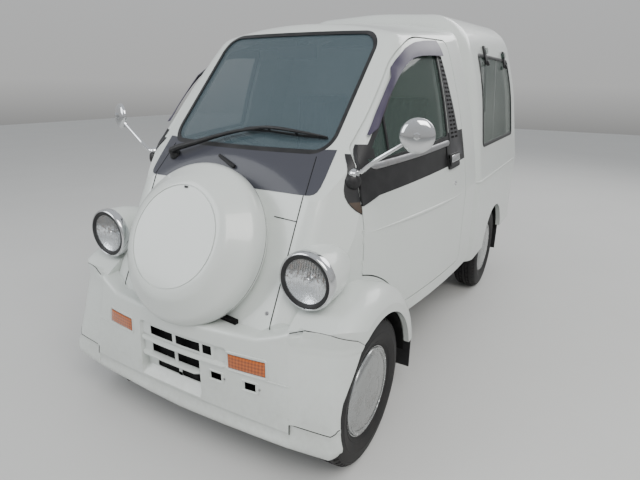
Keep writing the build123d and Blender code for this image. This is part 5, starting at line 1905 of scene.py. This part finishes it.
@dataclass
class Dashboard:
    """Dashboard fittings: gauge hood, vents, radio panel, glove box and knobs."""

    bench: Bench
    top_z: float = 1.010
    face_x: float = 0.785
    driver_y: float = -0.230

    def vent(self, y: float, number: int) -> None:
        """Air vent with slats."""
        pieces = [self.bench.block(f"vent_frame_{number}", (self.face_x - 0.004, y, 0.952),
                                   (0.014, 0.100, 0.052), 0.004)]
        self.bench.done(self.bench.joined(pieces, f"vent_frame_{number}"), Finish.BLACK, "body", "black_trim")
        slats = [self.bench.block(f"vent_slat_{number}_{k}", (self.face_x - 0.012, y, 0.934 + 0.009 * k),
                                  (0.008, 0.088, 0.0022), 0.0006, 1, (0, 0.35, 0)) for k in range(5)]
        self.bench.done(self.bench.joined(slats, f"vent_slats_{number}"), Finish.GREY, "body", "black_trim")

    def gauges(self) -> None:
        """Hood with a round speed gauge and two small ones."""
        y = self.driver_y
        hood = self.bench.block("gauge_hood", (0.800, y, 1.005), (0.110, 0.300, 0.100), 0.030, 5)
        self.bench.done(hood, Finish.GREY, "body", "black_trim", 50)
        for name, dy, radius in (("speed_gauge", 0.0, 0.040), ("fuel_gauge", 0.085, 0.024),
                                 ("heat_gauge", -0.085, 0.024)):
            centre = (0.7445, y + dy, 1.008)
            ring = self.bench.spun(f"{name}_ring", [(0.0, radius), (0.006, radius), (0.0065, radius - 0.002),
                                                    (0.003, radius - 0.004), (0.0, radius - 0.004)], centre,
                                   (-1, 0, 0), 48)
            self.bench.done(ring, Finish.CHROME, "body", "chrome")
            dial = self.bench.spun(f"{name}_dial", [(0.001, radius - 0.003), (0.0012, radius * 0.2),
                                                    (0.004, radius * 0.16),
                                                    (0.0045, 0.0)], centre, (-1, 0, 0), 48)
            self.bench.done(dial, Finish.BLACK, "body", "black_trim")
            marks = []
            for k in range(9):
                turn = math.radians(-40 + 260 * k / 8)
                mid = Vector(centre) + Vector((-0.0022, math.cos(turn) * (radius - 0.008), math.sin(turn)
                                               * (radius - 0.008)))
                marks.append(self.bench.block(f"{name}_mark_{k}", mid, (0.0008, 0.0055 * radius / 0.04,
                                                                        0.0014), 0.0002, 1,
                                              (-turn, 0, 0)))
            marks.append(self.bench.block(f"{name}_needle", Vector(centre)
                                          + Vector((-0.0032, radius * 0.28, radius * 0.1)),
                                          (0.0010, radius * 0.6, 0.0016), 0.0003, 1, (0.35, 0, 0)))
            self.bench.done(self.bench.joined(marks, f"{name}_marks"), Finish.WHITE, "body", "white_paint")

    def build(self) -> None:
        """Make the dashboard's fittings."""
        self.gauges()
        for number, y in enumerate((-0.345, -0.050, 0.050, 0.345)):
            self.vent(y, number + 1)
        radio = self.bench.block("radio_panel", (self.face_x - 0.002, 0.0, 0.878), (0.016, 0.185, 0.056),
                                 0.004)
        self.bench.done(radio, Finish.BLACK, "body", "black_trim")
        for k, y in enumerate((-0.076, 0.076)):
            knob = self.bench.spun(f"radio_knob_{k + 1}", [(0.0, 0.0), (0.0, 0.011), (0.012, 0.0105),
                                                           (0.0135, 0.008), (0.0138, 0.0)],
                                   (self.face_x - 0.010, y, 0.878), (-1, 0, 0), 28)
            self.bench.done(knob, Finish.CHROME, "body", "chrome")
        for k, y in enumerate((-0.055, 0.0, 0.055)):
            knob = self.bench.spun(f"heater_knob_{k + 1}", [(0.0, 0.0), (0.0, 0.014), (0.010, 0.0135),
                                                            (0.0115, 0.011), (0.012, 0.0)],
                                   (self.face_x + 0.003, y, 0.822), (-1, 0, 0), 28)
            self.bench.done(knob, Finish.BLACK, "body", "black_trim")
        lid = self.bench.block("glove_lid", (self.face_x + 0.001, 0.260, 0.850), (0.012, 0.230, 0.110), 0.006,
                               3)
        self.bench.done(lid, Finish.GREY, "body", "black_trim")
        catch = self.bench.block("glove_catch", (self.face_x - 0.006, 0.260, 0.892), (0.006, 0.045, 0.014),
                                 0.002)
        self.bench.done(catch, Finish.CHROME, "body", "chrome")


@dataclass
class CabInside:
    """Gear lever, handbrake, pedals, inner mirror and sun visors."""

    bench: Bench

    def build(self) -> None:
        """Make the cab's inner pieces."""
        base = self.bench.spun("gear_boot", [(0.0, 0.052), (0.012, 0.048), (0.022, 0.034), (0.034, 0.030),
                                             (0.046, 0.018),
                                             (0.060, 0.010)], (0.380, 0.0, 0.640), (0.12, 0, 1), 32)
        rod = self.bench.tube("gear_rod", [(0.386, 0.0, 0.690), (0.402, 0.0, 0.780), (0.412, -0.004, 0.860)],
                              0.006, 3)
        knob = self.bench.spun("gear_knob", [(-0.016, 0.008), (-0.012, 0.016), (0.0, 0.022), (0.012, 0.021),
                                             (0.022, 0.014),
                                             (0.026, 0.0)], (0.414, -0.005, 0.868), (0.1, 0, 1), 32)
        self.bench.done(self.bench.joined([base, knob], "gear_lever"), Finish.BLACK, "body", "black_trim", 45)
        self.bench.done(rod, Finish.CHROME, "body", "chrome")
        brake = self.bench.tube("handbrake", [(0.120, 0.0, 0.662), (0.200, 0.0, 0.700), (0.290, 0.0, 0.735)],
                                0.014, 3,
                                (0.8, 0.8, 1.1))
        self.bench.done(brake, Finish.BLACK, "body", "black_trim", 45)
        for name, y in (("clutch_pedal", -0.150), ("brake_pedal", -0.240), ("throttle_pedal", -0.325)):
            pad = self.bench.block(name, (0.770, y, 0.560), (0.014, 0.055, 0.052), 0.004, 2, (0, -0.5, 0))
            arm = self.bench.tube(f"{name}_arm", [(0.778, y, 0.575), (0.830, y, 0.660), (0.850, y, 0.780)],
                                  0.006, 2)
            self.bench.done(self.bench.joined([pad, arm], name), Finish.BLACK, "body", "black_trim", 45)
        mirror = self.bench.block("inner_mirror", (0.545, 0.0, 1.420), (0.018, 0.190, 0.055), 0.009, 4,
                                  (0, 0.1, 0))
        stem = self.bench.tube("inner_mirror_stem", [(0.548, 0.0, 1.436), (0.556, 0.0, 1.470)], 0.006, 2)
        self.bench.done(self.bench.joined([mirror, stem], "inner_mirror"), Finish.BLACK, "body", "black_trim",
                        45)
        for side in Side:
            word = side.name.lower()
            visor = self.bench.block(f"sun_visor_{word}", (0.395, side.value * 0.200, 1.462),
                                     (0.120, 0.270, 0.012),
                                     0.005, 3, (0, 0.30, 0))
            self.bench.done(visor, Finish.GREY, "body", "black_trim")


@dataclass
class Seats:
    """Padded cushions and backs with sewn channels, on dark bases."""

    bench: Bench
    seat_ys: tuple[float, float] = (-0.230, 0.230)
    width: float = 0.400
    cushion: tuple[float, float, float, float] = (-0.050, 0.425, 0.655, 0.752)
    back: tuple[tuple[float, float], ...] = ((-0.010, 0.745), (-0.088, 1.270))
    voxel: float = 0.011

    def swelled(self, piece: bpy.types.Object, cap: float) -> bpy.types.Object:
        """Remesh a pad and let air pressure swell it.

        Args:
            piece: the pad's starting shape.
            cap: how far a point may move, in metres.

        Returns:
            The swelled pad.
        """
        deselect()
        bpy.context.view_layer.objects.active = piece
        piece.select_set(True)
        net = piece.modifiers.new("net", "REMESH")
        net.mode = "VOXEL"
        net.voxel_size = self.voxel
        bpy.ops.object.modifier_apply(modifier="net")
        start = [v.co.copy() for v in piece.data.vertices]
        cloth = piece.modifiers.new("swell", "CLOTH")
        cloth.settings.use_pressure = True
        cloth.settings.uniform_pressure_force = 4.0
        cloth.settings.effector_weights.gravity = 0.0
        cloth.settings.quality = 5
        scene = bpy.context.scene
        for number in range(1, 21):
            scene.frame_set(number)
        bpy.ops.object.modifier_apply(modifier="swell")
        scene.frame_set(1)
        for vertex, old in zip(piece.data.vertices, start):
            move = vertex.co - old
            if move.length > cap:
                vertex.co = old + move.normalized() * cap
        return piece

    def channels(self, piece: bpy.types.Object, centre: Vector, along: Vector, across: Vector, half: float,
                 depth: float, count: int) -> None:
        """Press sewn channels into a pad's face.

        Args:
            piece: the pad.
            centre: the middle of the face.
            along: the channels' direction.
            across: the direction from one channel to the next.
            half: half of the width that has channels.
            depth: how deep they are.
            count: how many there are.
        """
        face = along.cross(across).normalized()
        for vertex in piece.data.vertices:
            place = vertex.co - centre
            near = place.dot(across)
            if abs(near) > half + 0.012 or place.dot(face) < -0.045:
                continue
            nearest = min(abs(near - (-half + 2 * half * k / (count - 1))) for k in range(count))
            vertex.co -= face * depth * math.exp(-(nearest / 0.0075) ** 2)

    def pad(self, name: str, centre: Vector, size: Vector, lean: float, face: Vector, along: Vector) -> None:
        """Make one pad.

        Args:
            name: its name.
            centre: its middle.
            size: its three sizes.
            lean: how far it leans back.
            face: the direction that its front faces.
            along: the direction of its channels.
        """
        piece = self.bench.block(name, centre, size, 0.030, 4, (0, lean, 0))
        piece = self.swelled(piece, 0.024)
        front = centre + face * (size.x if abs(face.x) > 0.6 else size.z) * 0.5
        self.channels(piece, front, along, Vector((0, 1, 0)), 0.115, 0.010, 6)
        smooth = piece.modifiers.new("smooth", "SUBSURF")
        smooth.levels = 1
        smooth.render_levels = 1
        deselect()
        bpy.context.view_layer.objects.active = piece
        piece.select_set(True)
        bpy.ops.object.modifier_apply(modifier="smooth")
        self.bench.done(piece, Finish.CLOTH, "body", "seat_cloth", 60, ("seats",))

    def build(self) -> None:
        """Make both seats."""
        x0, x1, z0, z1 = self.cushion
        (bx0, bz0), (bx1, bz1) = self.back
        lean = math.atan2(bx1 - bx0, bz1 - bz0)
        for side, y in zip(("right", "left"), self.seat_ys):
            middle = Vector(((x0 + x1) / 2, y, (z0 + z1) / 2))
            self.pad(f"cushion_{side}", middle,
                     Vector((x1 - x0 - 0.040, self.width - 0.045, z1 - z0 - 0.030)), 0.0,
                     Vector((0, 0, 1)), Vector((1, 0, 0)))
            tilt = Vector((bx1 - bx0, 0, bz1 - bz0)).normalized()
            mid = Vector(((bx0 + bx1) / 2, y, (bz0 + bz1) / 2))
            self.pad(f"seat_back_{side}", mid, Vector((0.050, self.width - 0.060, (bz1 - bz0) * 0.97)), lean,
                     Vector((tilt.z, 0, -tilt.x)), tilt * -1)
            base = self.bench.block(f"seat_base_{side}", (middle.x, y, 0.648),
                                    (x1 - x0 - 0.05, self.width - 0.03, 0.012), 0.004)
            self.bench.done(base, Finish.BLACK, "body", "black_trim", 35, ("seats",))


@dataclass
class ArchLinings:
    """Dark linings inside the four wheel arches."""

    bench: Bench
    radius: float = 0.2935
    hub_z: float = 0.268
    width: tuple[float, float] = (0.345, 0.620)

    def build(self) -> None:
        """Make the linings."""
        for end, at_x, low, high in (("front", 1.025, 64, 176), ("rear", -0.815, 8, 172)):
            for side in Side:
                grid = []
                for k in range(29):
                    angle = math.radians(low + (high - low) * k / 28)
                    grid.append([Vector((at_x + self.radius * math.cos(angle), side.value * y,
                                         self.hub_z + self.radius * math.sin(angle)))
                                 for y in (self.width[0], 0.44, 0.53, self.width[1])])
                self.bench.sheet(f"arch_lining_{end}_{side.name.lower()}", grid, 0.0015, Finish.SEAM, "body",
                                 "black_trim")


@dataclass
class Rear:
    """Rear lamps, tailgate handle, glass seal and small details of the back."""

    bench: Bench
    lamp_y: float = 0.596
    lamp_x: float = -1.402

    def lamps(self) -> None:
        """Three-part lamps with ribs, on black bases."""
        parts = (("red", 0.560, 0.073, Finish.RED, "red_lens"), ("amber", 0.487, 0.066, Finish.AMBER,
                                                                 "amber_lens"),
                 ("clear", 0.424, 0.052, Finish.LAMP_GLASS, "glass"))
        for side in Side:
            word = side.name.lower()
            base = self.bench.block(f"rear_lamp_base_{word}", (self.lamp_x + 0.0165, side.value * self.lamp_y,
                                                               0.495),
                                    (0.012, 0.070, 0.208), 0.005, 3)
            self.bench.done(base, Finish.BLACK, "body", "black_trim", 35, ("rear_lamps",))
            for name, z, height, finish, slot in parts:
                lens = self.bench.block(f"rear_{name}_lens_{word}",
                                        (self.lamp_x + 0.0085, side.value * self.lamp_y, z),
                                        (0.014, 0.062, height), 0.0045, 3)
                self.bench.done(lens, finish, "body", slot, 35, ("rear_lamps",))

    def gate(self) -> None:
        """Tailgate handle, lock and glass seal."""
        skin = Skin("tailgate", "tailgate_glass")
        at, normal = skin.rear(0.0, 0.930)
        bezel = self.bench.block("tailgate_handle_frame", at + normal * 0.002, (0.008, 0.170, 0.050), 0.003,
                                 3)
        self.bench.done(bezel, Finish.BLACK, "tailgate", "black_trim")
        grip = self.bench.block("tailgate_handle", at + normal * 0.008, (0.010, 0.135, 0.022), 0.004, 3)
        self.bench.done(grip, Finish.CHROME, "tailgate", "chrome")
        lock_at, lock_way = skin.rear(0.120, 0.930)
        lock = self.bench.spun("tailgate_lock", [(-0.001, 0.0), (-0.001, 0.012), (0.002, 0.0115),
                                                 (0.003, 0.009),
                                                 (0.001, 0.003), (0.001, 0.0)], lock_at, lock_way, 28)
        self.bench.done(lock, Finish.CHROME, "tailgate", "chrome")
        ring = eased([(-0.400, 1.080, 0.045), (0.400, 1.080, 0.045), (0.360, 1.490, 0.060),
                      (-0.360, 1.490, 0.060)])
        even = []
        for (a, b), (c, d) in zip(ring, ring[1:] + ring[:1]):
            count = max(1, round(math.hypot(c - a, d - b) / 0.03))
            even.extend((a + (c - a) * i / count, b + (d - b) * i / count) for i in range(count))
        points, normals = skin.laid(skin.rear(y, z) for y, z in even)
        seal = self.bench.strip("tailgate_seal", points, normals, 0.0090, 0.0030, closed=True)
        self.bench.done(seal, Finish.BLACK, "tailgate", "black_trim", 50)
        stops = []
        for y in (-0.30, 0.30):
            found = Skin("rear_bumper", "tailgate").rear(y, 0.640)
            if found:
                stops.append(self.bench.block(f"gate_stop_{y}", found[0] + found[1] * 0.003,
                                              (0.006, 0.030, 0.018), 0.002))
        if stops:
            self.bench.done(self.bench.joined(stops, "tailgate_stops"), Finish.BLACK, "tailgate",
                            "black_trim")

    def build(self) -> None:
        """Make the back's pieces."""
        self.lamps()
        self.gate()


@dataclass
class Studio:
    """Pale floor, soft light and the camera of the photograph."""

    camera_at: Point = (2.3547, 1.1626, 1.2995)
    yaw: float = -2.6201
    pitch: float = -0.3194
    roll: float = 0.0135
    focal_px: float = 475.85
    frame_px: float = 640.0
    floor_colour: Colour = (0.60, 0.60, 0.585)
    floor_half: float = 14.0

    def camera(self) -> None:
        """Place the camera where the photograph was taken."""
        bpy.ops.object.camera_add(location=self.camera_at)
        camera = bpy.context.object
        look = Vector((math.cos(self.pitch) * math.cos(self.yaw), math.cos(self.pitch) * math.sin(self.yaw),
                       math.sin(self.pitch)))
        right = look.cross(Vector((0, 0, 1))).normalized()
        up = right.cross(look)
        tilted_right = right * math.cos(self.roll) + up * math.sin(self.roll)
        tilted_up = up * math.cos(self.roll) - right * math.sin(self.roll)
        turn = Matrix((tilted_right, tilted_up, -look)).transposed()
        camera.matrix_world = Matrix.Translation(self.camera_at) @ turn.to_4x4()
        camera.data.sensor_width = 36.0
        camera.data.lens = self.focal_px / self.frame_px * 36.0
        camera.data.clip_end = 200.0
        bpy.context.scene.camera = camera

    def floor(self) -> None:
        """Lay the pale floor."""
        deselect()
        bpy.ops.mesh.primitive_plane_add(size=2 * self.floor_half, location=(0, 0, 0))
        floor = bpy.context.object
        floor.name = "floor"
        s = Shader("pale_floor")
        where, _, _, _ = s.place()
        cloud = s.noise(where, 1.4, 5.0, 0.55)
        darker = tuple(c * 0.93 for c in self.floor_colour)
        s.set(Base_Color=s.mix(cloud, self.floor_colour, darker), Roughness=0.75, Specular_IOR_Level=0.2)
        floor.data.materials.append(s.material)

    def lamp(self, name: str, place: Point, aim: Point, size: tuple[float, float], watts: float,
             colour: Colour = (1.0, 1.0, 1.0)) -> None:
        """Hang one soft rectangular lamp.

        Args:
            name: the lamp's name.
            place: where it hangs.
            aim: the point that it faces.
            size: its width and height.
            watts: its power.
            colour: its colour.
        """
        bpy.ops.object.light_add(type="AREA", location=place)
        lamp = bpy.context.object
        lamp.name = name
        lamp.rotation_euler = (Vector(aim) - Vector(place)).to_track_quat("-Z", "Y").to_euler()
        lamp.data.shape = "RECTANGLE"
        lamp.data.size, lamp.data.size_y = size
        lamp.data.energy = watts
        lamp.data.color = colour

    def sky(self) -> None:
        """Even sky with a darker band at the horizon, for the reflections."""
        world = bpy.data.worlds.new("soft_sky")
        bpy.context.scene.world = world
        world.use_nodes = True
        tree = world.node_tree
        tree.nodes.clear()
        where = tree.nodes.new("ShaderNodeTexCoord")
        split = tree.nodes.new("ShaderNodeSeparateXYZ")
        ramp = tree.nodes.new("ShaderNodeValToRGB")
        light = tree.nodes.new("ShaderNodeBackground")
        out = tree.nodes.new("ShaderNodeOutputWorld")
        stops = ((0.0, (0.20, 0.20, 0.20)), (0.46, (0.34, 0.34, 0.335)), (0.50, (0.60, 0.60, 0.595)),
                 (0.62, (0.66, 0.67, 0.68)), (1.0, (0.80, 0.83, 0.87)))
        while len(ramp.color_ramp.elements) < len(stops):
            ramp.color_ramp.elements.new(1.0)
        for element, (at, colour) in zip(ramp.color_ramp.elements, stops):
            element.position = at
            element.color = (*colour, 1.0)
        scale = tree.nodes.new("ShaderNodeMapRange")
        scale.inputs[1].default_value = -1.0
        tree.links.new(where.outputs[0], split.inputs[0])
        tree.links.new(split.outputs[2], scale.inputs[0])
        tree.links.new(scale.outputs[0], ramp.inputs[0])
        tree.links.new(ramp.outputs[0], light.inputs[0])
        light.inputs[1].default_value = 0.85
        tree.links.new(light.outputs[0], out.inputs[0])

    def build(self) -> None:
        """Set up the whole studio."""
        self.camera()
        self.floor()
        self.sky()
        self.lamp("key_lamp", (3.2, 3.4, 5.0), (0.2, 0.0, 0.8), (4.0, 3.0), 260.0, (1.0, 0.98, 0.95))
        self.lamp("side_lamp", (4.5, -3.0, 3.4), (0.6, 0.0, 0.7), (3.0, 3.0), 110.0, (0.94, 0.97, 1.0))
        self.lamp("back_lamp", (-4.5, 2.0, 4.4), (-0.5, 0.0, 1.0), (4.0, 3.0), 140.0)
        LOG.info("studio ready")


def deselect() -> None:
    """Deselect everything."""
    bpy.ops.object.select_all(action="DESELECT")


def main() -> None:
    """Build the scene in order."""
    logging.basicConfig(level=logging.INFO, format="%(message)s")
    random.seed(7)
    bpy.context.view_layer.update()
    book = FinishBook()
    for finish, nodes in NODE_FINISH.items():
        for node in nodes:
            book.dress(node, finish)
    bench = Bench(book)
    Headlamps(bench).build()
    for end, at_x in (("front", 1.025), ("rear", -0.815)):
        for side in Side:
            RoadWheel(bench, end, side, at_x).build()
    FrontBumper(bench).build()
    Nose(bench).build()
    Wiper(bench).build()
    Mirrors(bench).build()
    for side in Side:
        DoorSide(bench, side).build()
    LoadBox(bench).build()
    SteeringWheel(bench).build()
    Dashboard(bench).build()
    CabInside(bench).build()
    Seats(bench).build()
    ArchLinings(bench).build()
    Rear(bench).build()
    Studio().build()


if __name__ == "__main__":
    main()
